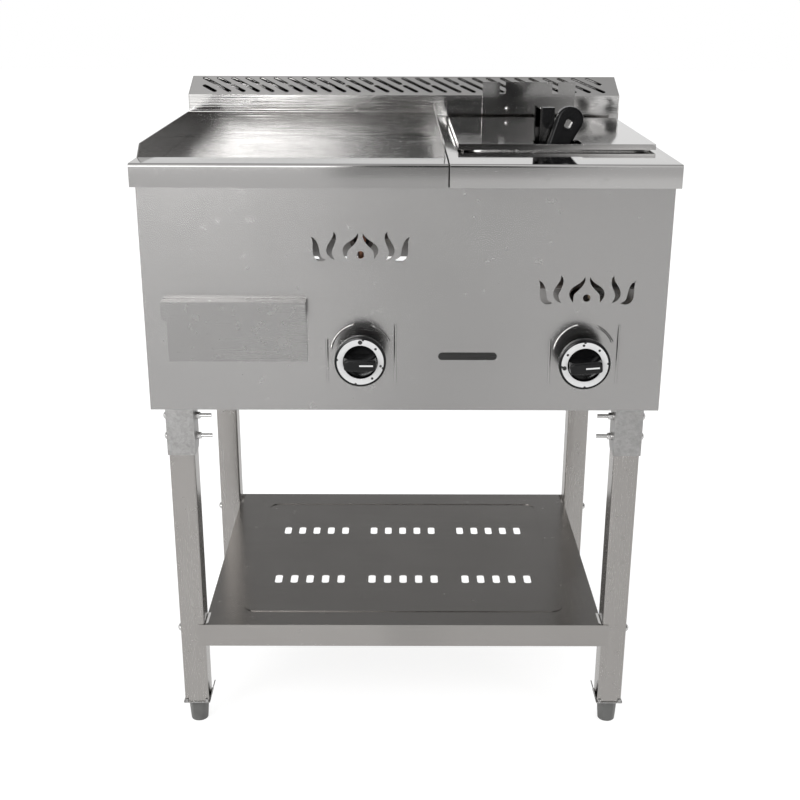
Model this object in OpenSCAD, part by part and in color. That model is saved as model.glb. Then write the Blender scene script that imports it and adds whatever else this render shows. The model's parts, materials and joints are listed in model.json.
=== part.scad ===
// Free-standing gas griddle and fryer station on four legs with a lower shelf.
// Origin on the floor under the middle, +Z up, the controls face -Y. Millimetres.

/* [Worktop] */
// Width of the whole worktop
top_w = 750; // [700:5:850]
// Height of the worktop rim above the floor
top_h = 900; // [860:5:950]
// Depth from the apron's front to the flue's front face
top_d = 503; // [480:1:560]
// Height of the folded apron
apron_h = 32; // [24:1:44]
// Thickness of the folded sheet
sheet_t = 1.5; // [1:0.1:2]
// Outer radius of the folded front edge
bend_r = 4; // [3:0.5:6]
// Gap between the griddle top and the fryer top
split_gap = 2; // [1.5:0.5:4]

/* [Griddle] */
// Flat rim in front of the cooking plate
rim_d = 60; // [50:1:80]
// How far the cooking plate lies below the rim
plate_drop = 25; // [18:1:30]
// Thickness of the cooking plate
plate_t = 8; // [5:0.5:10]
// Height of the splash guards above the rim
guard_h = 16.5; // [10:0.5:40]
// Length of the slanted front end of a guard
guard_slant = 22; // [10:1:40]
// Strip between the right guard and the split
guard_strip = 2; // [1.5:0.5:6]
// Bore of the grease drain
drain_d = 27; // [20:1:32]
// Place of the drain from the left edge of the worktop
drain_x = 135; // [110:1:150]
// Place of the drain behind the rim
drain_back = 35; // [20:1:38]

/* [Casing] */
// Setback of the front panel behind the apron
panel_back = 8; // [5:0.5:12]
// Distance from the rim down to the casing's lower edge
casing_h = 355; // [345:1:370]
// Inset of the side panels from the worktop's edge
panel_inset = 6.5; // [4:0.5:12]
// How far the rear panel lies behind the flue's front face
rear_reach = 32; // [28:1:40]
// Width of the folded returns along the lower edge
return_w = 15; // [10:1:20]
// Width of the flat base frame
base_w = 62; // [60:1:70]
// Thickness of the base frame
base_t = 2; // [1.5:0.5:3]

/* [Flue] */
// Depth of the flue box
flue_d = 63; // [55:1:70]
// Height of the flue's front edge above the rim
flue_front_h = 45; // [35:1:60]
// Height of the flue's rear edge above the rim
flue_rear_h = 71.5; // [65:0.5:90]
// Inset of the flue box from the worktop's ends
flue_inset = 2; // [1:0.5:6]
// Width of a vent slot
slot_w = 8; // [6:0.5:9]
// Pitch of the slanted vent slots
slot_pitch = 25; // [22:1:40]
// Number of slanted rows of slots
slot_rows = 29; // [5:1:29]

/* [Fryer] */
// Width of the oil tank
tank_w = 267; // [230:1:270]
// Worktop to the left of the tank
tank_left = 26.5; // [26:0.5:40]
// Worktop to the right of the tank
tank_right = 22; // [21:0.5:40]
// Depth of the oil tank below the worktop
tank_depth = 154; // [130:1:160]
// Front of the tank behind the apron's front
tank_back = 136; // [130:1:142]
// Worktop between the tank and the flue
tank_rear = 42; // [38:1:60]
// Height of the raised collar round the tank
collar_h = 9.5; // [8:0.5:14]
// Width of the tank's flange on the worktop
flange_w = 6; // [4:0.5:7]
// How far the lid reaches past the tank on each side
lid_over = 9.5; // [9:0.5:14]
// Thickness of the lid's sheet
lid_t = 1.2; // [1:0.1:2]
// Height of the lid's folded lip
lip_h = 8; // [6:0.5:9]
// Width of the lid's window for the basket handle
window_w = 70; // [66:1:90]
// Depth of the lid's window
window_d = 43; // [42:1:60]

/* [Basket] */
// Room between the basket and each side of the tank
basket_side = 18.5; // [14:0.5:30]
// Room left by the basket in the tank's length
basket_room = 55; // [50:1:90]
// Height of the basket
basket_h = 108; // [80:1:112]
// Diameter of the basket's rim wire
rim_wire = 6; // [4:0.5:7]
// Thickness of a mesh bar
mesh_t = 2; // [1.5:0.5:3]
// Pitch of the mesh
mesh_pitch = 25; // [22:1:40]
// Height of the rack that the basket stands on
rack_h = 16; // [10:1:24]

/* [Basket handle] */
// Width of the handle bracket's plate
bracket_w = 20; // [16:1:22]
// Height of the bracket above the lid
bracket_up = 48; // [30:1:60]
// Width of the flared wing of the bracket
wing_w = 10; // [6:1:12]
// Width of the grip at its top
grip_w = 35; // [28:1:38]
// Width of the grip at its foot
grip_foot_w = 30; // [24:1:32]
// Thickness of the grip
grip_t = 18; // [14:1:19]
// Length of the grip from its pivot to the top
grip_l = 77; // [66:1:84]
// Lean of the grip to the right
grip_lean = 21; // [0:1:23]
// Diameter of the grip's pivot screw
pivot_d = 5; // [4:0.5:6]

/* [Hanger] */
// Width of the basket hanger on the flue
hanger_w = 160; // [120:1:180]
// Height of the hanger's tabs above the flue's edge
tab_h = 23; // [15:1:30]
// Width of a hook notch
notch_w = 10; // [8:0.5:14]
// Distance between the two hook notches
notch_pitch = 90.5; // [70:0.5:100]

/* [Drawer] */
// Width of the grease drawer's front
drawer_w = 198; // [160:1:205]
// Height of the drawer's front plate
drawer_h = 92; // [70:1:100]
// Distance from the rim down to the drawer's lower edge
drawer_drop = 281; // [270:1:300]
// Left edge of the drawer from the worktop's left end
drawer_x = 38; // [30:1:44]
// Length of the drawer's tray
tray_l = 390; // [250:1:420]
// Height of the drawer's tray
tray_h = 58; // [40:1:62]
// How far the handle lip stands out
lip_out = 18; // [12:1:24]
// Height of the handle lip
drawer_lip_h = 27; // [18:1:34]

/* [Controls] */
// Distance from the rim down to the left knob
knob_drop = 267; // [258:0.5:273]
// How much lower the right knob sits
knob_lower = 3.5; // [0:0.5:4]
// Left knob from the worktop's left end
knob_left_x = 312.5; // [290:0.5:330]
// Right knob from the worktop's right end
knob_right_x = 125; // [100:0.5:150]
// Diameter of the knob's disc
knob_d = 72; // [60:1:76]
// How far the knob stands out from the panel
knob_reach = 66; // [56:1:72]
// Thickness of the knob's disc
disc_t = 14; // [10:1:18]
// Diameter of the knob's neck
neck_d = 46; // [36:1:50]
// Length of the knob's grip bar
bar_l = 47; // [40:1:47]
// Width of the knob's grip bar
bar_w = 19; // [12:1:24]
// Diameter of the valve stem
stem_d = 8; // [6:0.5:10]
// Travel of the push cap
push_travel = 5; // [3:0.5:5]
// Distance from the rim down to the griddle burner's flame vents
vent_left_drop = 126; // [110:1:140]
// Distance from the rim down to the fryer burner's flame vents
vent_right_drop = 187; // [175:1:197]
// Height of the pressed marks round a knob
emboss_h = 2; // [1:0.5:3]
// How far the right knob's pressed marks lie to its right
marks_shift = 5; // [0:0.5:6]

/* [Gas] */
// Diameter of the gas rail
rail_d = 16; // [12:1:20]
// Distance from the rim down to the gas rail
rail_drop = 294; // [292:1:296]
// Diameter of the hose tail at the gas inlet
tail_d = 10; // [8:0.5:12]
// Diameter of the griddle burner's tubes
burner_d = 32; // [26:1:34]
// Diameter of the fryer burner's tubes
fryer_burner_d = 28; // [22:1:30]

/* [Stand] */
// Side of a square leg
leg_s = 38; // [30:1:45]
// Wall of a leg
leg_wall = 1.5; // [1:0.1:2.5]
// Inset of the legs' outer faces from the worktop's ends
stand_inset = 25; // [25:0.5:45]
// Front face of the front legs behind the apron's front
leg_back = 27; // [26:0.5:32]
// Distance between the rear legs and the rear panel
leg_rear = 6.5; // [5:0.5:40]
// Height of a leg's lower end above the floor
leg_z = 40; // [36:1:50]
// Height of the leg brackets
socket_h = 80; // [60:1:110]
// Height of the shelf above the floor
shelf_z = 180; // [150:1:300]
// Height of the shelf's folded lip
shelf_lip = 37.5; // [36:0.5:50]
// Thickness of the shelf's sheet
shelf_t = 1.2; // [1:0.1:2]
// Width of a shelf slot
shelf_slot_w = 12; // [8.5:0.5:14]
// Length of a shelf slot
shelf_slot_l = 28; // [16:1:36]
// Width of a foot across its flats
foot_w = 27; // [22:1:30]
// Diameter of the frame bolts
bolt_d = 6; // [5:0.5:8]
// Diameter of the levelling feet's screws
foot_screw_d = 10; // [8:1:12]

/* [Hidden] */

$fn = 48;
fit = 0.05;
gap = 0.3;
through = 1;

knob_front = knob_reach - panel_back;
apron_y = -(top_d + flue_d + knob_front) / 2 + knob_front;
function back(d) = apron_y + d;

left_x = -top_w / 2;
right_x = top_w / 2;
fryer_x = right_x - tank_right - tank_w - tank_left;
split_x = fryer_x - split_gap;
guard_x = split_x - guard_strip - sheet_t;
rim_under = top_h - sheet_t;
apron_z = top_h - apron_h;
plate_z = top_h - plate_drop;
plate_under = plate_z - plate_t;
guard_z = top_h + guard_h;

panel_y = back(panel_back);
panel_z = top_h - casing_h;
panel_in = panel_y + sheet_t;
side_x = right_x - panel_inset;
side_in = side_x - sheet_t;
rear_y = back(top_d) + rear_reach;
rear_in = rear_y - sheet_t;
base_z = panel_z + sheet_t;
divider_x = guard_x - sheet_t;
griddle_back = back(top_d) - sheet_t;

flue_y = back(top_d);
flue_rear = flue_y + flue_d;
flue_x = right_x - flue_inset;
flue_run = [flue_d, flue_rear_h - flue_front_h];
flue_slope = atan2(flue_run[1], flue_run[0]);
flue_face = norm(flue_run);

tank_cx = right_x - tank_right - tank_w / 2;
tank_y = back(tank_back);
tank_l = top_d - tank_back - tank_rear;
tank_cy = tank_y + tank_l / 2;
tank_r = 25;
tank_wall = 1.5;
tank_floor = top_h - tank_depth + tank_wall;
lid_under = top_h + collar_h + gap;
lid_z = lid_under + lid_t;
lid_x0 = tank_cx - tank_w / 2 - lid_over;
lid_x1 = tank_cx + tank_w / 2 + lid_over;
lid_y0 = tank_y - lid_over + 0.5;
lid_y1 = tank_y + tank_l + lid_over - 0.5;
window_x = tank_cx + 2.5;
window_y = lid_y0 + lid_t;

rack_z = tank_floor + rack_h;
basket_w = tank_w - 2 * basket_side;
basket_l = tank_l - basket_room;
basket_z = rack_z + gap;
basket_y = lid_y0 + 43;
basket_top = basket_z + basket_h;
plate_y = basket_y - 2;
bracket_x = window_x - 24;
bracket_top = lid_z + bracket_up;
grip_y1 = plate_y - 11;
grip_y0 = grip_y1 - grip_t;
pivot_x = window_x - 6.9;
pivot_z = lid_z - 21;
boss_d = 12;
counterbore_d = 10;
counterbore_t = 4.8;

hanger_cx = tank_cx - 4;
hanger_t = 1.2;
joggle = 2;
hanger_z = top_h + 8;
edge_z = top_h + flue_front_h;

leg_x = right_x - stand_inset - leg_s / 2;
leg_y_front = back(leg_back) + leg_s / 2;
leg_y_rear = rear_y - leg_rear - leg_s / 2;
socket_t = 1.5;
socket_z = base_z - socket_h;
cap_t = 2;
leg_top = base_z - cap_t;
leg_r = 3;
bolt_hole = bolt_d + 0.6;
bolt_z = [base_z - 24, base_z - 56];
shelf_bolt_z = shelf_z - 15;
plate_foot_t = 2;
LEGS = [[-1, -1], [1, -1], [-1, 1], [1, 1]];

shelf_x = leg_x - leg_s / 2 - gap;
shelf_y0 = leg_y_front - leg_s / 2 - shelf_t;
shelf_y1 = leg_y_rear + leg_s / 2 + shelf_t;

drawer_left = left_x + drawer_x;
drawer_right = drawer_left + drawer_w;
tray_inset = 7;
drawer_z = top_h - drawer_drop;
tray_z = drawer_z + 3;
tray_t = 1.2;
front_t = 1.7;
slot_play = 3;
runner_t = 1.5;
bar_t = 3;

knob_z = top_h - knob_drop;
left_knob = [left_x + knob_left_x, knob_z];
right_knob = [right_x - knob_right_x, knob_z - knob_lower];
left_marks = [left_knob[0], knob_z - 1];
right_marks = [right_knob[0] + marks_shift, knob_z - 1];
knob_rear = back(0);
disc_front = back(-knob_front) + 18;
cap_d = 2 * stem_d;
valve_rear = panel_in + 34.5;
recess = 15.5;
tube_d = 8;
rail_y = panel_in + 20.5;
rail_z = top_h - rail_drop;
feed_x = right_x - 40;
vent_left_z = top_h - vent_left_drop;
vent_right_z = top_h - vent_right_drop;
burner_z = vent_left_z + 11;
fryer_burner_z = vent_right_z - 8;
burner_front = back(62);
tube_y = panel_in + 21;
rivet_reach = 37;
rivet_z = top_h + 23;

module block(x, y, z) {
    translate([x[0], y[0], z[0]])
        cube([x[1] - x[0], y[1] - y[0], z[1] - z[0]]);
}

module rounded_plate(w, l, r, h) {
    linear_extrude(h) {
        square([w - 2 * r, l], center = true);
        square([w, l - 2 * r], center = true);
        for (sx = [-1, 1], sy = [-1, 1])
            translate([sx * (w / 2 - r), sy * (l / 2 - r)])
                circle(r);
    }
}

module capsule(w, l, h) {
    cylinder(d = w, h = h);
    translate([0, l - w, 0])
        cylinder(d = w, h = h);
    translate([-w / 2, 0, 0])
        cube([w, l - w, h]);
}

module along_x(x, y, z) {
    translate([x, y, z])
        rotate([0, 90, 0])
            children();
}

module along_y(x, y, z) {
    translate([x, y, z])
        rotate([-90, 0, 0])
            children();
}

// Square leg tubes with bolt holes for the brackets and the shelf
module leg(side, end) {
    x = side * leg_x;
    y = end < 0 ? leg_y_front : leg_y_rear;
    color("silver")
        difference() {
            translate([x, y, leg_z])
                rounded_plate(leg_s, leg_s, leg_r, leg_top - leg_z);
            translate([x, y, leg_z - through])
                rounded_plate(leg_s - 2 * leg_wall, leg_s - 2 * leg_wall, leg_r - leg_wall + 0.5,
                              leg_top - leg_z + 2 * through);
            for (z = [shelf_bolt_z, bolt_z[0], bolt_z[1]])
                along_x(x - leg_s, y, z)
                    cylinder(d = bolt_hole, h = 2 * leg_s);
        }
}

// Pressed sockets under the casing, each a channel round a leg with a cap on top
module leg_brackets() {
    color("darkgray")
        for (at = LEGS) {
            y = at[1] < 0 ? leg_y_front : leg_y_rear;
            half = leg_s / 2;
            translate([at[0] * leg_x, y, 0])
                turned_end(at[1])
                    difference() {
                        union() {
                            block([-half - socket_t, half + socket_t], [-half - socket_t, -half],
                                  [socket_z, base_z]);
                            for (s = [-1, 1])
                                translate([s * (half + socket_t / 2) - socket_t / 2, 0, 0])
                                    socket_side(half);
                            block([-half, half], [-half, half], [leg_top, base_z]);
                        }
                        for (z = bolt_z)
                            along_x(-leg_s, 0, z)
                                cylinder(d = bolt_hole, h = 2 * leg_s);
                    }
        }
}

module turned_end(end) {
    rotate([0, 0, end < 0 ? 0 : 180])
        children();
}

module socket_side(half) {
    corner = 14;
    block([0, socket_t], [-half, half], [socket_z + corner, base_z]);
    block([0, socket_t], [-half, half - corner], [socket_z, socket_z + corner]);
    along_x(0, half - corner, socket_z + corner)
        cylinder(r = corner, h = socket_t);
}

// Square plates under the legs, with upturned corner clips, a flared tab and a nut for the foot
module foot_plates() {
    side = leg_s + 4;
    clip = 5;
    clip_t = 1.5;
    color("silver")
        for (at = LEGS) {
            y = at[1] < 0 ? leg_y_front : leg_y_rear;
            translate([at[0] * leg_x, y, leg_z - plate_foot_t])
                mirror([at[0] > 0 ? 1 : 0, 0, 0])
                    difference() {
                        union() {
                            rounded_plate(side, side, 2, plate_foot_t);
                            for (sx = [-1, 1])
                                translate([sx * (side / 2 - clip) - clip / 2, -side / 2, 0])
                                    cube([clip, clip_t, plate_foot_t + clip]);
                            translate([leg_s / 2 + gap, -leg_s / 4, 0])
                                flared_tab(leg_s / 2);
                            translate([0, 0, plate_foot_t])
                                cylinder(d = 1.9 * foot_screw_d, h = 8, $fn = 6);
                        }
                        translate([0, 0, -through])
                            cylinder(d = foot_screw_d + 2 * fit, h = 20);
                    }
        }
}

module flared_tab(w) {
    rise = 24;
    flare = 6;
    t = 1.7;
    translate([0, w, 0])
        rotate([90, 0, 0])
            linear_extrude(w)
                polygon([[0, 0], [t, 0], [t, plate_foot_t], [t + flare, rise], [flare, rise],
                         [0, plate_foot_t]]);
}

// Hexagonal levelling foot on a screw
module foot(side, end) {
    y = end < 0 ? leg_y_front : leg_y_rear;
    top = leg_z - plate_foot_t - gap;
    color("gray")
        translate([side * leg_x, y, 0]) {
            intersection() {
                cylinder(d = foot_w / cos(30), h = top, $fn = 6);
                cylinder(r1 = foot_w / 2, r2 = foot_w / 2 + 3, h = top);
            }
            translate([0, 0, top - through])
                cylinder(d = foot_screw_d, h = 40);
        }
}

// Dome-headed bolts through the brackets and the shelf's sides
module bolt(side, y, z, outer, tip) {
    head_h = 1.2 * bolt_d;
    head_r = 1.15 * bolt_d;
    dome_r = (head_r * head_r + head_h * head_h) / (2 * head_h);
    mirror([side < 0 ? 1 : 0, 0, 0]) {
        along_x(outer, y, z)
            intersection() {
                translate([0, 0, head_h - dome_r])
                    sphere(dome_r);
                cylinder(r = 2 * head_r, h = head_h);
            }
        along_x(tip, y, z)
            cylinder(d = bolt_d, h = outer - tip + head_h / 2);
    }
}

module frame_bolts() {
    outer = leg_x + leg_s / 2;
    inner = leg_x - leg_s / 2;
    color("silver")
        for (at = LEGS) {
            y = at[1] < 0 ? leg_y_front : leg_y_rear;
            for (z = bolt_z)
                bolt(at[0], y, z, outer + socket_t, inner - 25);
            bolt(at[0], y, shelf_bolt_z, outer, inner - 14);
        }
}

module nut(side, y, z, x, t) {
    mirror([side < 0 ? 1 : 0, 0, 0])
        along_x(x - t, y, z)
            difference() {
                union() {
                    cylinder(d = 1.85 * bolt_d, h = t, $fn = 6);
                    translate([0, 0, t - 1.5])
                        cylinder(d = 2.1 * bolt_d, h = 1.5);
                }
                translate([0, 0, -through])
                    cylinder(d = bolt_d + 4 * fit, h = t + 2 * through);
            }
}

module frame_nuts() {
    inner = leg_x - leg_s / 2;
    color("gray")
        for (at = LEGS) {
            y = at[1] < 0 ? leg_y_front : leg_y_rear;
            for (z = bolt_z)
                nut(at[0], y, z, inner - socket_t, 7);
            nut(at[0], y, shelf_bolt_z, shelf_x - shelf_t, 6);
        }
}

// Lower shelf: a pan with folded lips, cut back at the legs, a raised bead and slots
module shelf() {
    cut = 6;
    leg_cut = leg_s + shelf_t + 2;
    tab = 10;
    depth = shelf_y1 - shelf_y0;
    mid_y = (shelf_y0 + shelf_y1) / 2;
    color("dimgray")
        difference() {
            union() {
                block([-shelf_x, shelf_x], [shelf_y0, shelf_y1], [shelf_z - shelf_t, shelf_z]);
                for (s = [-1, 1])
                    block([s < 0 ? -shelf_x : shelf_x - shelf_t, s < 0 ? -shelf_x + shelf_t : shelf_x],
                          [shelf_y0, shelf_y1], [shelf_z - shelf_lip, shelf_z]);
                for (y = [shelf_y0, shelf_y1 - shelf_t])
                    block([-shelf_x - tab, shelf_x + tab], [y, y + shelf_t], [shelf_z - shelf_lip, shelf_z]);
                shelf_bead(mid_y, depth);
            }
            for (sx = [-1, 1], y = [shelf_y0 + shelf_t, shelf_y1 - leg_cut])
                translate([sx * (shelf_x - cut / 2), y + (leg_cut - shelf_t) / 2, shelf_z])
                    cube([cut - 2 * shelf_t, leg_cut - shelf_t, 2 * shelf_t + 1], center = true);
            shelf_slots(depth);
            for (s = [-1, 1], y = [leg_y_front, leg_y_rear])
                along_x(s * shelf_x - 5, y, shelf_bolt_z)
                    cylinder(d = bolt_hole, h = 10);
        }
}

module shelf_bead(mid_y, depth) {
    side_margin = 54;
    end_margin = 42.5;
    bead = 6;
    r = 22;
    w = 2 * (shelf_x - side_margin);
    l = depth - 2 * end_margin;
    translate([0, mid_y, shelf_z])
        difference() {
            rounded_plate(w, l, r, shelf_t);
            translate([0, 0, -through])
                rounded_plate(w - 2 * bead, l - 2 * bead, r - bead, shelf_t + 2 * through);
        }
}

module shelf_slots(depth) {
    pitch = 26.2;
    group = 157;
    for (row = [0.304, 0.675], g = [-1:1], i = [-2:2])
        translate([g * group + i * pitch, shelf_y0 + row * depth, shelf_z - 2 * shelf_t])
            rounded_plate(shelf_slot_w, shelf_slot_l, 4, 4 * shelf_t);
}

// Front panel with the drawer slot, stem holes, flame vents and pressed marks round the knobs
module front_panel() {
    color("silver")
        difference() {
            union() {
                block([-side_x, side_x], [panel_y, panel_in], [panel_z, rim_under]);
                block([-side_in, side_in], [panel_in, panel_in + return_w], [panel_z, base_z]);
                knob_marks(left_marks);
                knob_marks(right_marks);
            }
            block([split_x - sheet_t - gap, fryer_x + sheet_t + gap], [panel_y - through, panel_in + through],
                  [apron_z - gap, top_h]);
            block([drawer_left + tray_inset - slot_play, drawer_right - tray_inset + slot_play],
                  [panel_y - through, panel_in + through],
                  [tray_z - slot_play, tray_z + tray_h + slot_play]);
            for (at = [left_knob, right_knob])
                along_y(at[0], panel_y - 5, at[1])
                    cylinder(d = cap_d + 1, h = 10);
            flame_vents(left_marks[0], vent_left_z);
            flame_vents(right_marks[0], vent_right_z);
        }
}

// A flame is a curved line through five points, widest in the middle and pointed at both ends
function curve(p, t) = let (u = 1 - t)
    pow(u, 4) * p[0] + 4 * pow(u, 3) * t * p[1] + 6 * u * u * t * t * p[2]
    + 4 * u * pow(t, 3) * p[3] + pow(t, 4) * p[4];
function heading(p, t) = let (d = curve(p, t + 0.01) - curve(p, t - 0.01)) d / norm(d);
function edge(p, t, w) = let (d = heading(p, t)) curve(p, t) + [-d[1], d[0]] * w * pow(sin(180 * t), 0.75);

module flame(p, w) {
    steps = 12;
    polygon(concat([for (i = [0:steps]) edge(p, i / steps, w / 2)],
                   [for (i = [steps - 1:-1:1]) edge(p, i / steps, -w / 2)]));
}

module flame_vents(x, z) {
    outer_flame = [[68, 25.4], [57, 15], [66, -2], [60, -8], [47.7, -7.3]];
    middle_flame = [[37.2, 32.6], [30, 20], [50, 8], [46, 2], [35.8, -7.3]];
    inner_flame = [[3.5, 30.5], [4, 14], [28, 12], [22, 6], [19, -6.5]];
    dot_d = 10.6;
    translate([x, panel_in + through, z])
        rotate([90, 0, 0])
            linear_extrude(sheet_t + 2 * through)
                for (s = [0, 1])
                    mirror([s, 0]) {
                        flame(outer_flame, 9.5);
                        flame(middle_flame, 8.5);
                        flame(inner_flame, 8.5);
                    }
    along_y(x, panel_y - through, z)
        cylinder(d = dot_d, h = sheet_t + 2 * through);
}

// Plain pressed ribs, arcs and dots that frame a knob
module knob_marks(at) {
    rib_x = 48.5;
    rib_d = 2 * emboss_h;
    arc_r = 43;
    left_rib = [-46, 20];
    right_rib = [-46, 42];
    sunk = 0.4;
    for (rib = [[-rib_x, left_rib], [rib_x, right_rib]])
        translate([at[0] + rib[0], panel_y + sunk, at[1] + rib[1][0]])
            cylinder(d = rib_d, h = rib[1][1] - rib[1][0]);
    translate([at[0], panel_y + sunk, at[1]])
        rotate([90, 0, 0]) {
            for (a = [[25, 65], [105, 170]])
                rotate([0, 0, a[0]])
                    rotate_extrude(angle = a[1] - a[0])
                        translate([arc_r, 0])
                            circle(d = rib_d, $fn = 16);
            for (a = [25, 65, 105, 170])
                rotate([0, 0, a])
                    translate([arc_r, 0, 0])
                        sphere(d = rib_d + 0.8, $fn = 24);
        }
}

// Side panels carry the tops, and rise behind the griddle to close the flue
module side_panel(s) {
    top = s < 0 ? plate_under : rim_under;
    flue_wall = [flue_y, flue_y + sheet_t];
    x = s < 0 ? [-side_x, -side_in] : [side_in, side_x];
    fold = s < 0 ? [-side_in, -side_in + return_w] : [side_in - return_w, side_in];
    screw_z = [panel_z + 40, apron_z - 40];
    color("silver")
        difference() {
            union() {
                block(x, [panel_in, flue_wall[0]], [panel_z, top]);
                block(x, flue_wall, [panel_z, apron_z]);
                block(x, [flue_wall[1], rear_in], [panel_z, rim_under]);
                block(fold, [panel_in + return_w, rear_in - return_w], [panel_z, base_z]);
            }
            for (z = screw_z, y = [panel_in + 12, rear_in - 12])
                along_x(x[0] - through, y, z)
                    cylinder(d = 4.4, h = sheet_t + 2 * through);
        }
}

// Rear panel with air slots low down and the hole for the gas inlet
module rear_panel() {
    slot_l = 60;
    slot_h = 8;
    socket_w = leg_s + 2 * socket_t + 2 * gap;
    socket_rear = leg_y_rear + leg_s / 2 + socket_t + gap;
    color("silver")
        difference() {
            union() {
                block([-side_x, side_x], [rear_in, rear_y], [panel_z, rim_under]);
                block([-side_in, side_in], [rear_in - return_w, rear_in], [panel_z, base_z]);
            }
            for (column = [-3:2], row = [0:3])
                translate([(column * 1.5 - 0.5) * slot_l, rear_y + through, panel_z + 45 + 20 * row])
                    rotate([90, 0, 0])
                        rotate([0, 0, -90])
                            capsule(slot_h, slot_l, sheet_t + 2 * through);
            for (s = [-1, 1])
                block([s * leg_x - socket_w / 2, s * leg_x + socket_w / 2],
                      [rear_in - return_w - through, socket_rear], [panel_z - through, base_z + through]);
            along_y(feed_x, rear_in - through, rail_z)
                cylinder(d = rail_d + 4 + 2 * gap, h = sheet_t + 2 * through);
        }
}

// Flat frame that ties the panels and the leg brackets together
module base_frame() {
    color("darkgray")
        difference() {
            block([-side_in, side_in], [panel_in, rear_in], [base_z, base_z + base_t]);
            block([-side_in + base_w, side_in - base_w], [panel_in + base_w, rear_in - base_w],
                  [base_z - through, base_z + base_t + through]);
        }
}

// Sheet between the two burner chambers, under the plate's right edge
module divider_panel() {
    color("darkgray")
        difference() {
            union() {
                block([divider_x, divider_x + sheet_t], [panel_in, flue_y], [base_z + base_t, plate_under]);
                block([divider_x, divider_x + sheet_t], [flue_y, rear_in],
                      [base_z + base_t, min(apron_z, plate_under)]);
            }
            along_x(divider_x - through, rail_y, rail_z)
                cylinder(d = rail_d + 6, h = sheet_t + 2 * through);
        }
}

// Folded edge along X: the rim turns down into the apron with a rounded bend
module folded_front(x0, x1, depth) {
    y0 = back(0);
    block([x0, x1], [y0 + bend_r, y0 + depth], [rim_under, top_h]);
    block([x0, x1], [y0, y0 + sheet_t], [apron_z, top_h - bend_r]);
    difference() {
        intersection() {
            along_x(x0, y0 + bend_r, top_h - bend_r)
                cylinder(r = bend_r, h = x1 - x0);
            block([x0, x1], [y0, y0 + bend_r], [top_h - bend_r, top_h]);
        }
        along_x(x0 - through, y0 + bend_r, top_h - bend_r)
            cylinder(r = bend_r - sheet_t, h = x1 - x0 + 2 * through);
    }
}

module folded_side(x, depth) {
    y0 = back(0);
    block([x, x + sheet_t], [y0 + bend_r, y0 + depth], [apron_z, top_h]);
    block([x, x + sheet_t], [y0, y0 + bend_r], [apron_z, top_h - bend_r]);
    along_x(x, y0 + bend_r, top_h - bend_r)
        cylinder(r = bend_r, h = sheet_t);
}

module guard(x, low_z) {
    y0 = back(rim_d);
    translate([x, 0, 0])
        rotate([90, 0, 90])
            linear_extrude(sheet_t)
                polygon([[y0 - sheet_t, low_z], [y0 - sheet_t, rim_under], [y0, rim_under], [y0, top_h],
                         [y0 + guard_slant, guard_z], [back(top_d), guard_z], [back(top_d), low_z]]);
}

// Griddle surround: rim, apron, two guards and the back wall round the plate
module griddle_surround() {
    color("silver") {
        folded_front(left_x, split_x, rim_d);
        folded_side(left_x, rim_d);
        folded_side(split_x - sheet_t, top_d);
        guard(left_x, apron_z);
        guard(guard_x, plate_under);
        block([left_x + sheet_t, guard_x + sheet_t], [back(rim_d) - sheet_t, back(rim_d)],
              [plate_under, rim_under]);
        block([left_x, guard_x + sheet_t], [griddle_back, back(top_d)], [plate_under, guard_z]);
        block([guard_x, split_x], [back(rim_d) - sheet_t, back(top_d)], [rim_under, top_h]);
    }
}

// Thick steel cooking plate with its grease drain
module griddle_plate() {
    color("gray")
        difference() {
            block([left_x + sheet_t, guard_x], [back(rim_d), griddle_back], [plate_under, plate_z]);
            translate([left_x + drain_x, back(rim_d + drain_back), plate_under - through])
                cylinder(d = drain_d, h = plate_t + 2 * through);
        }
}

// Drain tube welded under the plate, above the drawer
module drain_spout() {
    low = drawer_z + drawer_h - 11;
    color("silver")
        translate([left_x + drain_x, back(rim_d + drain_back), low])
            difference() {
                cylinder(d = drain_d + 2 * sheet_t, h = plate_under - low);
                translate([0, 0, -through])
                    cylinder(d = drain_d, h = plate_under - low + 2 * through);
            }
}

// Fryer top with the tank opening
module fryer_top() {
    color("gainsboro")
        difference() {
            union() {
                folded_front(fryer_x, right_x, top_d);
                folded_side(fryer_x, top_d);
                folded_side(right_x - sheet_t, top_d);
            }
            translate([tank_cx, tank_cy, rim_under - through])
                rounded_plate(tank_w + 2 * gap, tank_l + 2 * gap, tank_r, sheet_t + 2 * through);
        }
}

// Oil tank hung by its flange, with a raised collar under the lid
module fryer_tank() {
    color("silver")
        translate([tank_cx, tank_cy, 0])
            difference() {
                union() {
                    translate([0, 0, top_h - tank_depth])
                        rounded_plate(tank_w, tank_l, tank_r, tank_depth + collar_h);
                    translate([0, 0, top_h])
                        rounded_plate(tank_w + 2 * flange_w, tank_l + 2 * flange_w, tank_r + flange_w, sheet_t);
                }
                translate([0, 0, tank_floor])
                    rounded_plate(tank_w - 2 * tank_wall, tank_l - 2 * tank_wall, tank_r - tank_wall,
                                  tank_depth + collar_h);
            }
}

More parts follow.
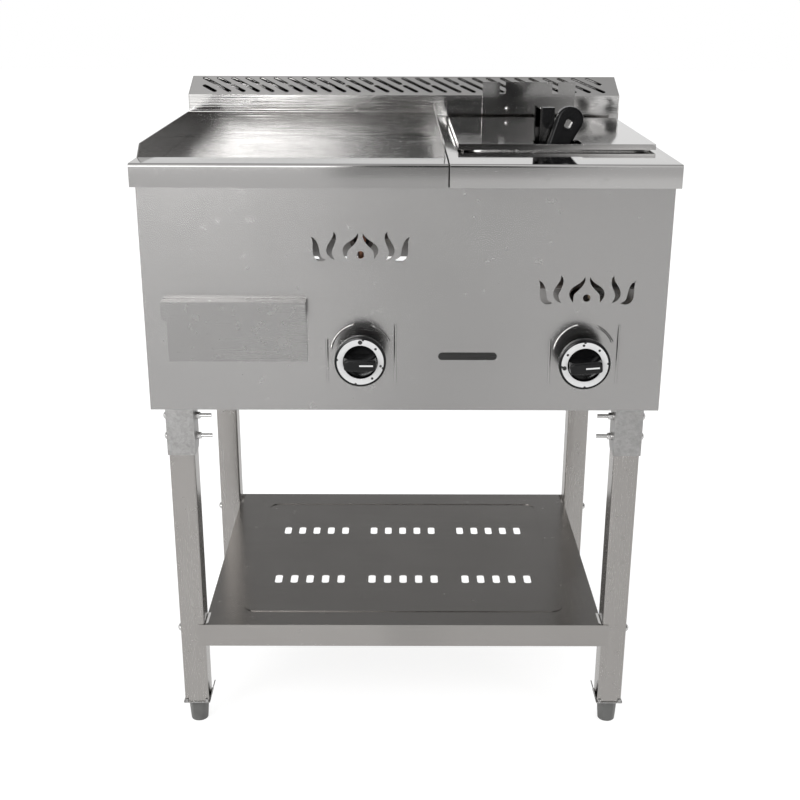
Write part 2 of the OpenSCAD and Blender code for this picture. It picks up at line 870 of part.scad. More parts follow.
// Perforated rack on two folded feet in the tank
module tank_rack() {
    w = tank_w - 2 * tank_wall - 14;
    l = tank_l - 2 * tank_wall - 14;
    hole = 18;
    pitch = 34;
    nx = floor((w - 40) / pitch / 2);
    ny = floor((l - 30) / pitch / 2);
    color("gray")
        translate([tank_cx, tank_cy, 0])
            difference() {
                union() {
                    translate([-w / 2, -l / 2, rack_z - tank_wall])
                        cube([w, l, tank_wall]);
                    for (s = [-1, 1])
                        translate([s * (w / 2 - 12) - tank_wall / 2, -l / 2 + 20, tank_floor])
                            cube([tank_wall, l - 40, rack_h - tank_wall]);
                }
                for (i = [-nx:nx], j = [-ny:ny])
                    translate([i * pitch, j * pitch, rack_z - tank_wall - through])
                        cylinder(d = hole, h = tank_wall + 2 * through);
            }
}

// Shallow lid with a folded lip and a window for the basket handle
module fryer_lid() {
    color("gainsboro")
        difference() {
            block([lid_x0, lid_x1], [lid_y0, lid_y1], [lid_z - lip_h, lid_z]);
            block([lid_x0 + lid_t, lid_x1 - lid_t], [lid_y0 + lid_t, lid_y1 - lid_t],
                  [lid_z - lip_h - through, lid_under]);
            block([window_x - window_w / 2, window_x + window_w / 2], [window_y, window_y + window_d],
                  [lid_under - through, lid_z + through]);
            block([window_x - window_w / 2, window_x + window_w / 2], [lid_y0 - through, window_y + through],
                  [lid_z - 2, lid_z + through]);
        }
}

// Folded flue box: front wall, slotted slope, rear wall and the floor of the overhang
module flue_box() {
    t = sheet_t;
    inner_slope = t / cos(flue_slope);
    length = 2 * (flue_x - t);
    color("gainsboro")
        difference() {
            translate([-length / 2, 0, 0])
                rotate([90, 0, 90])
                    linear_extrude(length)
                        difference() {
                            polygon([[flue_y, apron_z], [flue_y, edge_z], [flue_rear, top_h + flue_rear_h],
                                     [flue_rear, apron_z]]);
                            polygon([[flue_y + t, apron_z - through],
                                     [flue_y + t, edge_z + t * tan(flue_slope) - inner_slope],
                                     [flue_rear - t, top_h + flue_rear_h - t * tan(flue_slope) - inner_slope],
                                     [flue_rear - t, apron_z + t], [rear_y, apron_z + t],
                                     [rear_y, apron_z - through]]);
                        }
            flue_slots();
        }
}

// Slots at 45 degrees in the slope: odd rows are one long slot, even rows are a lower and an upper short one
module flue_slots() {
    low_end = 9;
    high_end = 4;
    run = (flue_face - low_end - high_end - slot_w) * sqrt(2);
    short = run * 0.41;
    lower = -run / 2;
    upper = run / 2 - short;
    last = slot_rows - 1;
    first = -last / 2 * slot_pitch - (low_end - high_end) / 2;
    translate([0, flue_y, edge_z])
        rotate([flue_slope, 0, 0])
            for (i = [0:last])
                translate([first + i * slot_pitch, (flue_face + low_end - high_end) / 2, -3 * sheet_t])
                    rotate([0, 0, 45])
                        if (i % 2 == 1)
                            translate([0, lower, 0])
                                capsule(slot_w, run + slot_w, 5 * sheet_t);
                        else
                            for (y = i == 0 ? [lower] : i == last ? [upper] : [lower, upper])
                                translate([0, y, 0])
                                    capsule(slot_w, short + slot_w, 5 * sheet_t);
}

module flue_cap(s) {
    color("gainsboro")
        translate([s < 0 ? -flue_x : flue_x - sheet_t, 0, 0])
            rotate([90, 0, 90])
                linear_extrude(sheet_t)
                    polygon([[flue_y, apron_z], [flue_y, edge_z], [flue_rear, top_h + flue_rear_h],
                             [flue_rear, apron_z]]);
}

// Basket hanger on the flue's front: a plate, a step forward and tabs with two hook notches
module basket_hanger() {
    x0 = hanger_cx - hanger_w / 2;
    x1 = hanger_cx + hanger_w / 2;
    front = flue_y - hanger_t;
    color("gainsboro")
        difference() {
            union() {
                block([x0, x1], [front, flue_y], [hanger_z, edge_z - joggle]);
                block([x0, x1], [front - joggle, flue_y], [edge_z - joggle - hanger_t, edge_z - joggle]);
                block([x0, x1], [front - joggle, front - joggle + hanger_t], [edge_z - joggle, edge_z + tab_h]);
            }
            for (s = [-1, 1])
                translate([hanger_cx + s * notch_pitch / 2 - notch_w / 2, front - joggle - through, edge_z + 3])
                    cube([notch_w, hanger_t + 2 * through, tab_h]);
            for (s = [-1, 1])
                along_y(hanger_cx + s * rivet_reach, front - through, rivet_z)
                    cylinder(d = 4.2, h = hanger_t + 2 * through);
        }
}

module hanger_rivets() {
    color("silver")
        for (s = [-1, 1])
            along_y(hanger_cx + s * rivet_reach, flue_y - hanger_t, rivet_z) {
                intersection() {
                    translate([0, 0, 2.5])
                        sphere(d = 9);
                    translate([0, 0, -5])
                        cylinder(d = 9, h = 5);
                }
                translate([0, 0, -0.5])
                    cylinder(d = 4, h = hanger_t + 0.5);
            }
}

// Wire basket: rim wire, meshed walls and floor, and two hooks at the back
module mesh_sheet(w, l) {
    nx = floor((w - mesh_t) / mesh_pitch);
    ny = floor((l - mesh_t) / mesh_pitch);
    sx = (w - mesh_t) / nx;
    sy = (l - mesh_t) / ny;
    linear_extrude(mesh_t)
        difference() {
            square([w, l]);
            for (i = [0:nx - 1], j = [0:ny - 1])
                translate([mesh_t + i * sx, mesh_t + j * sy])
                    square([sx - mesh_t, sy - mesh_t]);
        }
}

module basket() {
    x0 = tank_cx - basket_w / 2;
    x1 = tank_cx + basket_w / 2;
    y1 = basket_y + basket_l;
    wall_h = basket_h - rim_wire / 2;
    rim_z = basket_top - rim_wire / 2;
    color("silver") {
        translate([x0, basket_y, basket_z])
            mesh_sheet(basket_w, basket_l);
        for (y = [basket_y + mesh_t, y1])
            translate([x0, y, basket_z])
                rotate([90, 0, 0])
                    mesh_sheet(basket_w, wall_h);
        for (x = [x0, x1 - mesh_t])
            translate([x, basket_y, basket_z])
                rotate([90, 0, 90])
                    mesh_sheet(basket_l, wall_h);
        for (y = [basket_y + rim_wire / 2, y1 - rim_wire / 2])
            along_x(x0, y, rim_z)
                cylinder(d = rim_wire, h = basket_w);
        for (x = [x0 + rim_wire / 2, x1 - rim_wire / 2])
            along_y(x, basket_y, rim_z)
                cylinder(d = rim_wire, h = basket_l);
        for (s = [-1, 1])
            basket_hook(hanger_cx + s * notch_pitch / 2, y1 - rim_wire / 2, rim_z);
    }
}

module basket_hook(x, y, z) {
    wire = 4;
    rise = 18;
    reach = 9;
    translate([x, y, z])
        cylinder(d = wire, h = rise);
    translate([x, y, z + rise])
        sphere(d = wire);
    along_y(x, y, z + rise)
        cylinder(d = wire, h = reach);
    translate([x, y + reach, z + rise])
        sphere(d = wire);
    translate([x, y + reach, z + rise - 8])
        cylinder(d = wire, h = 8);
}

// Bent bracket on the basket's front: plate, flared wing and the boss for the grip's screw
module handle_bracket() {
    t = 2;
    low = basket_z + 25;
    foot_x = pivot_x + boss_d;
    y = [plate_y, plate_y + t];
    color("dimgray")
        difference() {
            union() {
                block([bracket_x, bracket_x + bracket_w], y, [low, bracket_top]);
                block([bracket_x, foot_x], y, [low, pivot_z + boss_d]);
                wing(bracket_x, low + 60);
                along_y(pivot_x, grip_y1 + gap, pivot_z)
                    cylinder(d = boss_d, h = plate_y - grip_y1 - gap + through);
            }
            along_y(pivot_x, grip_y1 - through, pivot_z)
                cylinder(d = pivot_d + 2 * fit, h = plate_y + t - grip_y1 - 0.6 + through);
        }
}

module wing(x, low) {
    t = 2;
    top = bracket_top;
    translate([x + 0.6, plate_y + t - t * sin(45), 0])
        rotate([0, 0, -135])
            rotate([90, 0, 0])
                linear_extrude(t)
                    polygon([[0, low], [wing_w * 1.2, low], [wing_w * 1.2, top + 3], [0, top - 4]]);
}

// Moulded block and its screw on the bracket's top
module handle_block() {
    w = bracket_w - 2;
    h = 29;
    t = 9;
    color("black")
        difference() {
            union() {
                block([bracket_x + 2, bracket_x + 2 + w], [plate_y - t, plate_y],
                      [bracket_top - h + 6, bracket_top]);
                along_y(bracket_x + 2 + w / 2, plate_y - t, bracket_top - h + 6)
                    cylinder(d = w - 4, h = t);
            }
            along_y(bracket_x + 2 + w / 2, plate_y - t - through, bracket_top - h + 4)
                cylinder(d = 5, h = 3);
        }
}

// Moulded grip with a hanging slot in a shallow pocket, leaning on its pivot screw
module basket_grip() {
    head_r = grip_w / 2;
    foot_r = grip_foot_w / 2 - 2;
    slot_z = grip_l - 25;
    color("black")
        translate([pivot_x, grip_y1, pivot_z])
            rotate([0, grip_lean, 0])
                rotate([90, 0, 0])
                    difference() {
                        linear_extrude(grip_t)
                            grip_outline(head_r, foot_r);
                        translate([0, slot_z, -through])
                            rounded_plate(9, 12, 3, grip_t + 2 * through);
                        translate([0, slot_z, grip_t - 3])
                            rounded_plate(12, 20, 4, 3 + through);
                        translate([0, 0, -through])
                            cylinder(d = pivot_d + 3 * fit, h = grip_t + 2 * through);
                        translate([0, 0, grip_t - counterbore_t])
                            cylinder(d = counterbore_d, h = counterbore_t + through);
                    }
}

module grip_outline(head_r, foot_r) {
    head_z = grip_l - head_r;
    translate([0, head_z])
        circle(head_r);
    circle(foot_r);
    polygon([[-foot_r, 0], [foot_r, 0], [head_r, head_z], [-head_r, head_z]]);
}

module grip_screw() {
    head_d = counterbore_d - 1;
    head_t = 2.5;
    head_y = grip_y0 + counterbore_t - gap;
    color("silver") {
        along_y(pivot_x, head_y - head_t, pivot_z)
            cylinder(d = head_d, h = head_t);
        along_y(pivot_x, head_y - through, pivot_z)
            cylinder(d = pivot_d, h = plate_y - head_y + 1);
    }
}

// Tube burners: a mouth, a cross pipe and three tubes
module burner(d, z, mouth_x, cross_y, tubes, end_y) {
    mouth_d = d - 4;
    difference() {
        union() {
            along_x(tubes[0], cross_y, z)
                cylinder(d = d, h = tubes[2] - tubes[0]);
            for (x = tubes)
                along_y(x, cross_y, z)
                    cylinder(d = d, h = end_y - cross_y);
            for (x = [tubes[0], tubes[2]])
                translate([x, cross_y, z])
                    sphere(d = d);
            along_y(mouth_x, burner_front, z)
                cylinder(d = mouth_d, h = cross_y - burner_front);
            along_y(mouth_x, burner_front, z)
                cylinder(d1 = mouth_d + 8, d2 = mouth_d, h = 18);
        }
        along_y(mouth_x, burner_front - through, z)
            cylinder(d = mouth_d - 5, h = 45);
    }
}

module griddle_burner() {
    mid = (left_x + divider_x) / 2;
    spread = 0.304 * (divider_x - left_x);
    color("dimgray")
        burner(burner_d, burner_z, left_knob[0], back(rim_d + 75), [mid - spread, mid, mid + spread],
               griddle_back - 46);
}

module fryer_burner() {
    spread = 0.2285 * tank_w;
    color("dimgray")
        burner(fryer_burner_d, fryer_burner_z, right_knob[0], tank_y + 14,
               [tank_cx - spread, tank_cx, tank_cx + spread], tank_y + tank_l - 21);
}

// Flat bars under the burners and the drawer runners
module burner_bars() {
    w = 25;
    griddle_bar_z = burner_z - burner_d / 2;
    fryer_bar_z = fryer_burner_z - fryer_burner_d / 2;
    runner_z = tray_z - gap - runner_t;
    color("gray") {
        for (y = [tank_y + w, griddle_back - 3 * w]) {
            block([-side_in, divider_x], [y, y + w], [griddle_bar_z - bar_t, griddle_bar_z]);
            block([divider_x + sheet_t, side_in], [y, y + w], [fryer_bar_z - bar_t, fryer_bar_z]);
        }
        block([-side_in, divider_x], [tank_cy + w, tank_cy + 2 * w], [runner_z - bar_t, runner_z]);
    }
}

// Gas rail behind the front panel and the feed pipe to the rear
module gas_rail() {
    feed_end = rear_in - 13.5;
    color("goldenrod") {
        along_x(left_knob[0] - 22, rail_y, rail_z)
            cylinder(d = rail_d, h = feed_x - left_knob[0] + 22);
        translate([feed_x, rail_y, rail_z])
            sphere(d = rail_d);
        along_y(feed_x, rail_y, rail_z)
            cylinder(d = rail_d, h = feed_end - rail_y);
    }
}

// Brass inlet with its nut and hose tail
module gas_inlet() {
    inner = rear_in - 13.5;
    nut_d = rail_d + 14;
    nut_t = 8;
    color("goldenrod")
        difference() {
            union() {
                along_y(feed_x, inner, rail_z)
                    cylinder(d = rail_d + 4, h = rear_y - inner);
                along_y(feed_x, rear_y, rail_z)
                    cylinder(d = nut_d, h = nut_t, $fn = 6);
                along_y(feed_x, rear_y, rail_z)
                    cylinder(d = tail_d, h = 28);
            }
            along_y(feed_x, rear_y - 5, rail_z)
                cylinder(d = tail_d - 4, h = 40);
        }
}

// Copper tubes from the valves up to the burners' injectors
module gas_tubes() {
    color("sienna") {
        gas_tube(left_knob, burner_z);
        gas_tube(right_knob, fryer_burner_z);
    }
}

module gas_tube(at, z) {
    low = at[1] + 15;
    translate([at[0], tube_y, low])
        cylinder(d = tube_d, h = z - low);
    translate([at[0], tube_y, z])
        sphere(d = tube_d);
    along_y(at[0], tube_y, z)
        cylinder(d = tube_d, h = burner_front - 4 - tube_y);
    along_y(at[0], burner_front - 10, z)
        cylinder(d = 14, h = 8, $fn = 6);
}

// Gas valves clamped on the rail, bored for the stem and the sprung push cap
module valve(at) {
    d = 30;
    color("darkgoldenrod")
        difference() {
            union() {
                along_y(at[0], panel_in, at[1])
                    cylinder(d = d, h = valve_rear - panel_in);
                block([at[0] - 11, at[0] + 11], [rail_y - 11, rail_y + 11], [rail_z - 10, at[1]]);
            }
            along_y(at[0], panel_in - through, at[1])
                cylinder(d = cap_d + 4 * fit, h = recess + through);
            along_y(at[0], panel_in, at[1])
                cylinder(d = stem_d + 2 * fit, h = valve_rear - panel_in - 3);
            along_x(at[0] - 20, rail_y, rail_z)
                cylinder(d = rail_d + 2 * fit, h = 40);
        }
}

module push_cap(at) {
    color("silver")
        difference() {
            along_y(at[0], panel_y - 4, at[1])
                cylinder(d = cap_d, h = 10);
            along_y(at[0], panel_y - 5, at[1])
                cylinder(d = stem_d + 2 * fit, h = 12);
        }
}

// The stem turns in the cap and the valve, with a collar that pushes the cap in
module stem(at) {
    front = disc_front + 4;
    color("silver") {
        along_y(at[0], front, at[1])
            cylinder(d = stem_d, h = valve_rear - 3 - push_travel - 1 - front);
        along_y(at[0], panel_y - 6.1, at[1])
            cylinder(d = stem_d + 5, h = 2);
    }
}

// Knob: neck, disc and grip bar
module knob(at) {
    front = back(-knob_front);
    dish = 8;
    dish_r = knob_d / 2 - 12;
    color("black")
        translate([at[0], 0, at[1]])
            difference() {
                union() {
                    difference() {
                        union() {
                            along_y(0, disc_front + dish, 0)
                                cylinder(d = neck_d, h = knob_rear - disc_front - dish);
                            along_y(0, disc_front, 0)
                                cylinder(d = knob_d, h = disc_t);
                        }
                        along_y(0, disc_front - through, 0)
                            cylinder(r = dish_r, h = dish + through);
                    }
                    intersection() {
                        block([-bar_l / 2, bar_l / 2], [front, disc_front + dish], [-bar_w / 2, bar_w / 2]);
                        along_y(0, front - through, 0)
                            cylinder(r = dish_r, h = knob_reach);
                    }
                }
                along_y(0, disc_front + 4 - gap, 0)
                    cylinder(d = stem_d + 2 * fit, h = 60);
                along_y(0, knob_rear - 14, 0)
                    cylinder(d = stem_d + 8, h = 20);
            }
}

// White dial ring on the disc, with plain marks
module dial(at) {
    outer = knob_d - 4;
    inner = knob_d - 24;
    t = 1;
    color("white")
        translate([at[0], 0, at[1]])
            difference() {
                along_y(0, disc_front - t, 0)
                    cylinder(d = outer, h = t);
                along_y(0, disc_front - t - through, 0)
                    cylinder(d = inner + 1, h = t + 2 * through);
            }
}

// Drawer: an open tray behind a face plate with a folded lip
module drawer_tray() {
    x = [drawer_left + tray_inset, drawer_right - tray_inset];
    y = [panel_y - gap, panel_y - gap + tray_l];
    color("silver")
        difference() {
            block(x, y, [tray_z, tray_z + tray_h]);
            block([x[0] + tray_t, x[1] - tray_t], [y[0] + tray_t, y[1] - tray_t],
                  [tray_z + tray_t, tray_z + tray_h + through]);
        }
}

module drawer_front() {
    y1 = panel_y - gap;
    y0 = y1 - front_t;
    top = drawer_z + drawer_h;
    lip_x = [drawer_left - 4, drawer_right];
    color("silver") {
        block([drawer_left, drawer_right], [y0, y1], [drawer_z, top]);
        block(lip_x, [y0 - lip_out, y0], [top - sheet_t, top]);
        block(lip_x, [y0 - lip_out, y0 - lip_out + sheet_t], [top - drawer_lip_h, top]);
    }
}

// Angle runners under the tray's sides
module drawer_runners() {
    y = [panel_in, panel_in + tray_l];
    z = tray_z - gap - runner_t;
    x0 = drawer_left + tray_inset;
    x1 = drawer_right - tray_inset;
    color("gray") {
        block([x0 - 0.5 - runner_t, x0 + 12], y, [z, z + runner_t]);
        block([x0 - 0.5 - runner_t, x0 - 0.5], y, [z, z + 18]);
        block([x1 - 12, x1 + 0.5 + runner_t], y, [z, z + runner_t]);
        block([x1 + 0.5, x1 + 0.5 + runner_t], y, [z, z + 18]);
    }
}

// Plain blank plate on the front
module nameplate() {
    w = 84;
    h = 11;
    t = 0.8;
    x = (left_knob[0] + right_knob[0]) / 2 - 4.5;
    color("dimgray")
        translate([x - w / 2 + h / 2, panel_y, knob_z - 6])
            rotate([90, 0, 0])
                rotate([0, 0, -90])
                    capsule(h, w, t);
}

// Pan-head screws that hold the side panels
module panel_screws() {
    color("silver")
        for (s = [-1, 1], z = [panel_z + 40, apron_z - 40], y = [panel_in + 12, rear_in - 12])
            mirror([s < 0 ? 1 : 0, 0, 0]) {
                along_x(side_x, y, z)
                    cylinder(d = 8, h = 2);
                along_x(side_in - 4, y, z)
                    cylinder(d = 4, h = sheet_t + 5);
            }
}

leg(-1, -1);  // leg_front_left
leg(1, -1);  // leg_front_right
leg(-1, 1);  // leg_rear_left
leg(1, 1);  // leg_rear_right
leg_brackets();
foot_plates();
foot(-1, -1);  // foot_front_left
foot(1, -1);  // foot_front_right
foot(-1, 1);  // foot_rear_left
foot(1, 1);  // foot_rear_right
frame_bolts();
frame_nuts();
shelf();
front_panel();
side_panel(-1);  // side_panel_left
side_panel(1);  // side_panel_right
rear_panel();
base_frame();
divider_panel();
griddle_surround();
griddle_plate();
drain_spout();
fryer_top();
fryer_tank();
tank_rack();
fryer_lid();
flue_box();
flue_cap(-1);  // flue_cap_left
flue_cap(1);  // flue_cap_right
basket_hanger();
hanger_rivets();
basket();
handle_bracket();
handle_block();
basket_grip();
grip_screw();
griddle_burner();
fryer_burner();
burner_bars();
gas_rail();
gas_inlet();
gas_tubes();
valve(left_knob);  // valve_left
valve(right_knob);  // valve_right
push_cap(left_knob);  // push_cap_left
push_cap(right_knob);  // push_cap_right
stem(left_knob);  // stem_left
stem(right_knob);  // stem_right
knob(left_knob);  // knob_left
knob(right_knob);  // knob_right
dial(left_knob);  // dial_left
dial(right_knob);  // dial_right
drawer_tray();
drawer_front();
drawer_runners();
nameplate();
panel_screws();
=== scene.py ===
import json
import math

import bmesh
import bpy
import numpy as np
from mathutils import Matrix, Vector


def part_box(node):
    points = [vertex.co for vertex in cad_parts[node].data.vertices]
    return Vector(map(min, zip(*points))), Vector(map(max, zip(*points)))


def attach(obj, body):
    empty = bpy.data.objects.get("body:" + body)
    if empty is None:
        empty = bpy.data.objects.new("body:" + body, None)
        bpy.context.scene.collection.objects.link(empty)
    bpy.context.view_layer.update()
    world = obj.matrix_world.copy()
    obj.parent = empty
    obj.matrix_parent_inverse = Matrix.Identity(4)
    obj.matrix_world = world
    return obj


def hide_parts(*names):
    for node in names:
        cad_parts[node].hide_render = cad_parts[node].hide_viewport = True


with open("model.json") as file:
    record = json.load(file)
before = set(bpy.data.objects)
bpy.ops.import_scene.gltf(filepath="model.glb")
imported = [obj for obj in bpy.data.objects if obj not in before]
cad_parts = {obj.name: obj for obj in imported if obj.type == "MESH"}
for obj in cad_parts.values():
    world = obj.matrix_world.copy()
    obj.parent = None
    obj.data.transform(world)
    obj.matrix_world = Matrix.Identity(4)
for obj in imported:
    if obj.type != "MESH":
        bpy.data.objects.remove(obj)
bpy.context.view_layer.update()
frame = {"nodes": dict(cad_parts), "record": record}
scene = bpy.context.scene
scene.view_settings.view_transform = "Standard"

# Legs.
# Four square steel tubes, 38 mm wide, with a satin finish and rounded long edges.
# Each is bolted into a bracket at its top and stands in a flange plate.


class Wire:
    """The output of one shader node. Arithmetic on it adds Math nodes."""

    def __init__(self, finish, socket):
        self.finish = finish
        self.socket = socket

    def maths(self, operation, *values):
        return self.finish.node("ShaderNodeMath", {"operation": operation}, dict(enumerate(values)))

    def __add__(self, other):
        return self.maths("ADD", self, other)

    def __sub__(self, other):
        return self.maths("SUBTRACT", self, other)

    def __rsub__(self, other):
        return self.maths("SUBTRACT", other, self)

    def __mul__(self, other):
        return self.maths("MULTIPLY", self, other)

    def __truediv__(self, other):
        return self.maths("DIVIDE", self, other)

    def above(self, other):
        return self.maths("GREATER_THAN", self, other)

    def most(self, other):
        return self.maths("MAXIMUM", self, other)

    def least(self, other):
        return self.maths("MINIMUM", self, other)

    def size(self):
        return self.maths("ABSOLUTE", self)

    def held(self):
        """Kept between 0 and 1."""
        return self.most(0.0).least(1.0)

    __radd__ = __add__
    __rmul__ = __mul__


class Finish:
    """One material, or the world. node() adds any shader node, and the other calls add the few that recur."""

    def __init__(self, name, world=None):
        self.material = world or bpy.data.materials.new(name)
        self.material.use_nodes = True
        self.tree = self.material.node_tree
        self.tree.nodes.clear()

    def node(self, kind, settings=None, values=None, out=0):
        made = self.tree.nodes.new(kind)
        for key, value in (settings or {}).items():
            setattr(made, key, value)
        for key, value in (values or {}).items():
            if isinstance(value, Wire):
                self.tree.links.new(value.socket, made.inputs[key])
            else:
                made.inputs[key].default_value = value
        return Wire(self, made.outputs[out] if made.outputs else None)

    def place(self, scale=(1, 1, 1), shift=(0, 0, 0)):
        """Object coordinates, shifted and then scaled."""
        where = self.node("ShaderNodeTexCoord", out=3)
        moved = self.node("ShaderNodeVectorMath", {"operation": "ADD"}, {0: where, 1: shift})
        return self.node("ShaderNodeVectorMath", {"operation": "MULTIPLY"}, {0: moved, 1: scale})

    def axis(self, index):
        """One of the object coordinates, in metres."""
        return self.node("ShaderNodeSeparateXYZ", None, {0: self.node("ShaderNodeTexCoord", out=3)}, out=index)

    def noise(self, scale, detail=3.0, rough=0.5, shift=(0, 0, 0)):
        """Noise from 0 to 1, its grain scaled along each axis."""
        return self.node(
            "ShaderNodeTexNoise", {"noise_dimensions": "3D"},
            {"Vector": self.place(scale, shift), "Scale": 1.0, "Detail": detail, "Roughness": rough})

    def cells(self, scale, shift=(0, 0, 0)):
        """A tone from 0 to 1 for each cell of a random mosaic."""
        tile = self.node(
            "ShaderNodeTexVoronoi", {"feature": "F1"}, {"Vector": self.place(scale, shift), "Scale": 1.0}, out=1)
        return self.node("ShaderNodeSeparateColor", None, {0: tile}, out=0)

    def blend(self, share, first, second):
        """A colour between two colours."""
        return self.node("ShaderNodeMix", {"data_type": "RGBA"}, {0: share, 6: first, 7: second}, out=2)

    def relief(self, height, depth, strength):
        """A bump from a height of 0 to 1 that stands depth metres proud."""
        return self.node("ShaderNodeBump", None, {"Height": height, "Distance": depth, "Strength": strength})

    def surface(self, **inputs):
        """The closing shader. An input is named as its socket is, with _ for each space."""
        values = {key.replace("_", " "): value for key, value in inputs.items()}
        shader = self.node("ShaderNodeBsdfPrincipled", None, values)
        self.node("ShaderNodeOutputMaterial", None, {"Surface": shader})
        return self


def grey(value, warmth=0.0):
    """An opaque grey. Warmth adds that share of red and takes it from the blue."""
    return (value * (1 + warmth), value, value * (1 - warmth), 1)


def steel(name, tone, rough, along, grain=0.04, cloud=0.05, depth=0.000012, warmth=0.012, stain=0.0, seed=0.0,
          rear_grain=None):
    """Steel sheet or tube: fine streaks along one axis, slow clouds of tone, and faint handling marks.

    Tone runs from 0.6 to 1.4 times the given one, by streaks, wider bands, clouds and stains. Each noise
    has its own scale per metre, across the grain and along it.
    rear_grain gives a depth in y past which the grain is coarse, and how many times deeper it is there."""
    streaks_across, streaks_along, bands_across, bands_along = 1500, 6, 130, 1.5
    finish = Finish(name)
    streak = finish.noise(
        [streaks_along if axis == along else streaks_across for axis in "xyz"], 1.0, 0.5, (seed, seed, seed))
    band = finish.noise(
        [bands_along if axis == along else bands_across for axis in "xyz"], 2.0, 0.5, (seed, 1.0, seed))
    clouds = finish.noise((6, 6, 6), 3.0, 0.5, (seed, 2.0 + seed, 3.0))
    specks = finish.noise((70, 70, 70), 4.0, 0.6, (seed + 5.0, 1.0, 3.0))
    marks = ((specks - 0.6) * 6).held()
    tint = (streak - 0.5) * grain * 4 + (band - 0.5) * grain * 2.5 + (clouds - 0.5) * cloud * 3
    tint = (tint - marks * stain + 0.5).held()
    grain_height = streak
    if rear_grain:
        starts, times = rear_grain
        grain_height = grain_height * (finish.axis(1).above(starts) * (times - 1) + 1)
    uneven = min(0.10, rough * 0.4)
    finish.surface(
        Base_Color=finish.blend(tint, grey(tone * 0.6, warmth * 2), grey(tone * 1.4, warmth)),
        Roughness=(rough + (streak + clouds - 1.0) * uneven + marks * 0.08).held(),
        Metallic=1.0,
        Normal=finish.relief(grain_height, depth, 0.5))
    return finish


home = {node: body for body, nodes in frame["record"]["behaviour"]["bodies"].items() for node in nodes}


def seat(piece, mesh, finish, node):
    """Links a finished piece, which stands for a CAD node and moves with its body."""
    mesh.materials.clear()
    mesh.materials.append(finish.material)
    scene.collection.objects.link(piece)
    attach(piece, home[node])
    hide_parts(node)
    return piece


def softened(node, finish, radius, steps=2, weigh=None, shape=None):
    """A CAD node's own form with its doubles merged, its flat faces joined and its edges rounded.

    weigh gives each edge's share of the radius from its middle and the normals of its two faces.
    shape moves the merged corners before the rounding."""
    same_place, same_plane, crease = 0.000002, math.radians(0.5), math.radians(35)
    work = bmesh.new()
    work.from_mesh(frame["nodes"][node].data)
    bmesh.ops.remove_doubles(work, verts=work.verts, dist=same_place)
    bmesh.ops.dissolve_limit(work, angle_limit=same_plane, verts=work.verts, edges=work.edges)
    if shape:
        shape(work)
    mesh = bpy.data.meshes.new(node + "_form")
    work.to_mesh(mesh)
    for layer in [a.name for a in mesh.attributes if a.name == "custom_normal"]:
        mesh.attributes.remove(mesh.attributes[layer])
    if weigh:
        work.normal_update()
        ends = [(e.verts[0].co + e.verts[1].co, e.link_faces[0].normal, e.link_faces[-1].normal) for e in work.edges]
        middle, first, second = (np.array([row[i] for row in ends], float) for i in range(3))
        share = mesh.attributes.new("bevel_weight_edge", "FLOAT", "EDGE")
        share.data.foreach_set("value", weigh(middle / 2, first, second).astype(np.float32))
    work.free()
    mesh.polygons.foreach_set("use_smooth", np.ones(len(mesh.polygons), bool))
    mesh.set_sharp_from_angle(angle=crease)
    piece = bpy.data.objects.new(node + "_form", mesh)
    if radius:
        bevel = piece.modifiers.new("rounding", "BEVEL")
        bevel.width = radius
        bevel.segments = steps
        bevel.limit_method = "WEIGHT" if weigh else "ANGLE"
        bevel.angle_limit = crease
        bevel.use_clamp_overlap = weigh is None
        bevel.harden_normals = True
    return seat(piece, mesh, finish, node)


leg_steel = steel("leg_tube", 0.43, 0.26, "z", 0.02, 0.05, warmth=0.03, stain=0.10)
for end in ("front", "rear"):
    for side in ("left", "right"):
        softened("leg_%s_%s" % (end, side), leg_steel, 0.0004)

# Brackets, flange plates and base frame.
# U-shaped brackets pressed from galvanised sheet with a fine spangle, welded under the base frame.
# Flange plates with corner clips and one flared tab stand under the legs.


def galvanised(name, tone, rough):
    """Zinc-dipped sheet: a mosaic of small crystals, each of its own tone, under soft clouds."""
    finish = Finish(name)
    crystal = finish.cells((230, 230, 230)) * 0.6 + finish.cells((520, 520, 520), (3.0, 1.0, 2.0)) * 0.4
    clouds = finish.noise((30, 30, 30))
    tint = ((crystal - 0.5) * 0.55 + (clouds - 0.5) * 0.5 + 0.5).held()
    finish.surface(
        Base_Color=finish.blend(tint, grey(tone * 0.72, 0.02), grey(tone * 1.28, 0.01)),
        Roughness=(rough + (crystal - 0.5) * 0.15).held(),
        Metallic=1.0,
        Normal=finish.relief(crystal, 0.00003, 0.5))
    return finish


bracket_zinc = galvanised("bracket_zinc", 0.41, 0.40)
for node in ("leg_brackets", "foot_plates", "base_frame"):
    softened(node, bracket_zinc, 0.0004)

# Levelling feet.
# Grey mouldings with a six-sided, tapered body and a round pad, screwed up into the flange plates.


def moulded(name, colour, rough, grain=0.00002, dust=0.0, gloss=0.5):
    """Moulded plastic: a fine even texture, slightly uneven gloss, and dust in paler patches."""
    finish = Finish(name)
    fine = finish.noise((1500, 1500, 1500), 2.0)
    clouds = finish.noise((45, 45, 45))
    low = tuple(c * 0.8 for c in colour) + (1,)
    high = tuple(min(1.0, c * 1.2 + dust) for c in colour) + (1,)
    finish.surface(
        Base_Color=finish.blend(clouds, low, high),
        Roughness=(rough + (fine - 0.5) * 0.12 + (clouds - 0.5) * 0.12).held(),
        Specular_IOR_Level=gloss,
        Normal=finish.relief(fine, grain, 0.4))
    return finish


foot_grey = moulded("foot_moulding", (0.13, 0.13, 0.126), 0.42, dust=0.03)
for end in ("front", "rear"):
    for side in ("left", "right"):
        softened("foot_%s_%s" % (end, side), foot_grey, 0.0006, 3)

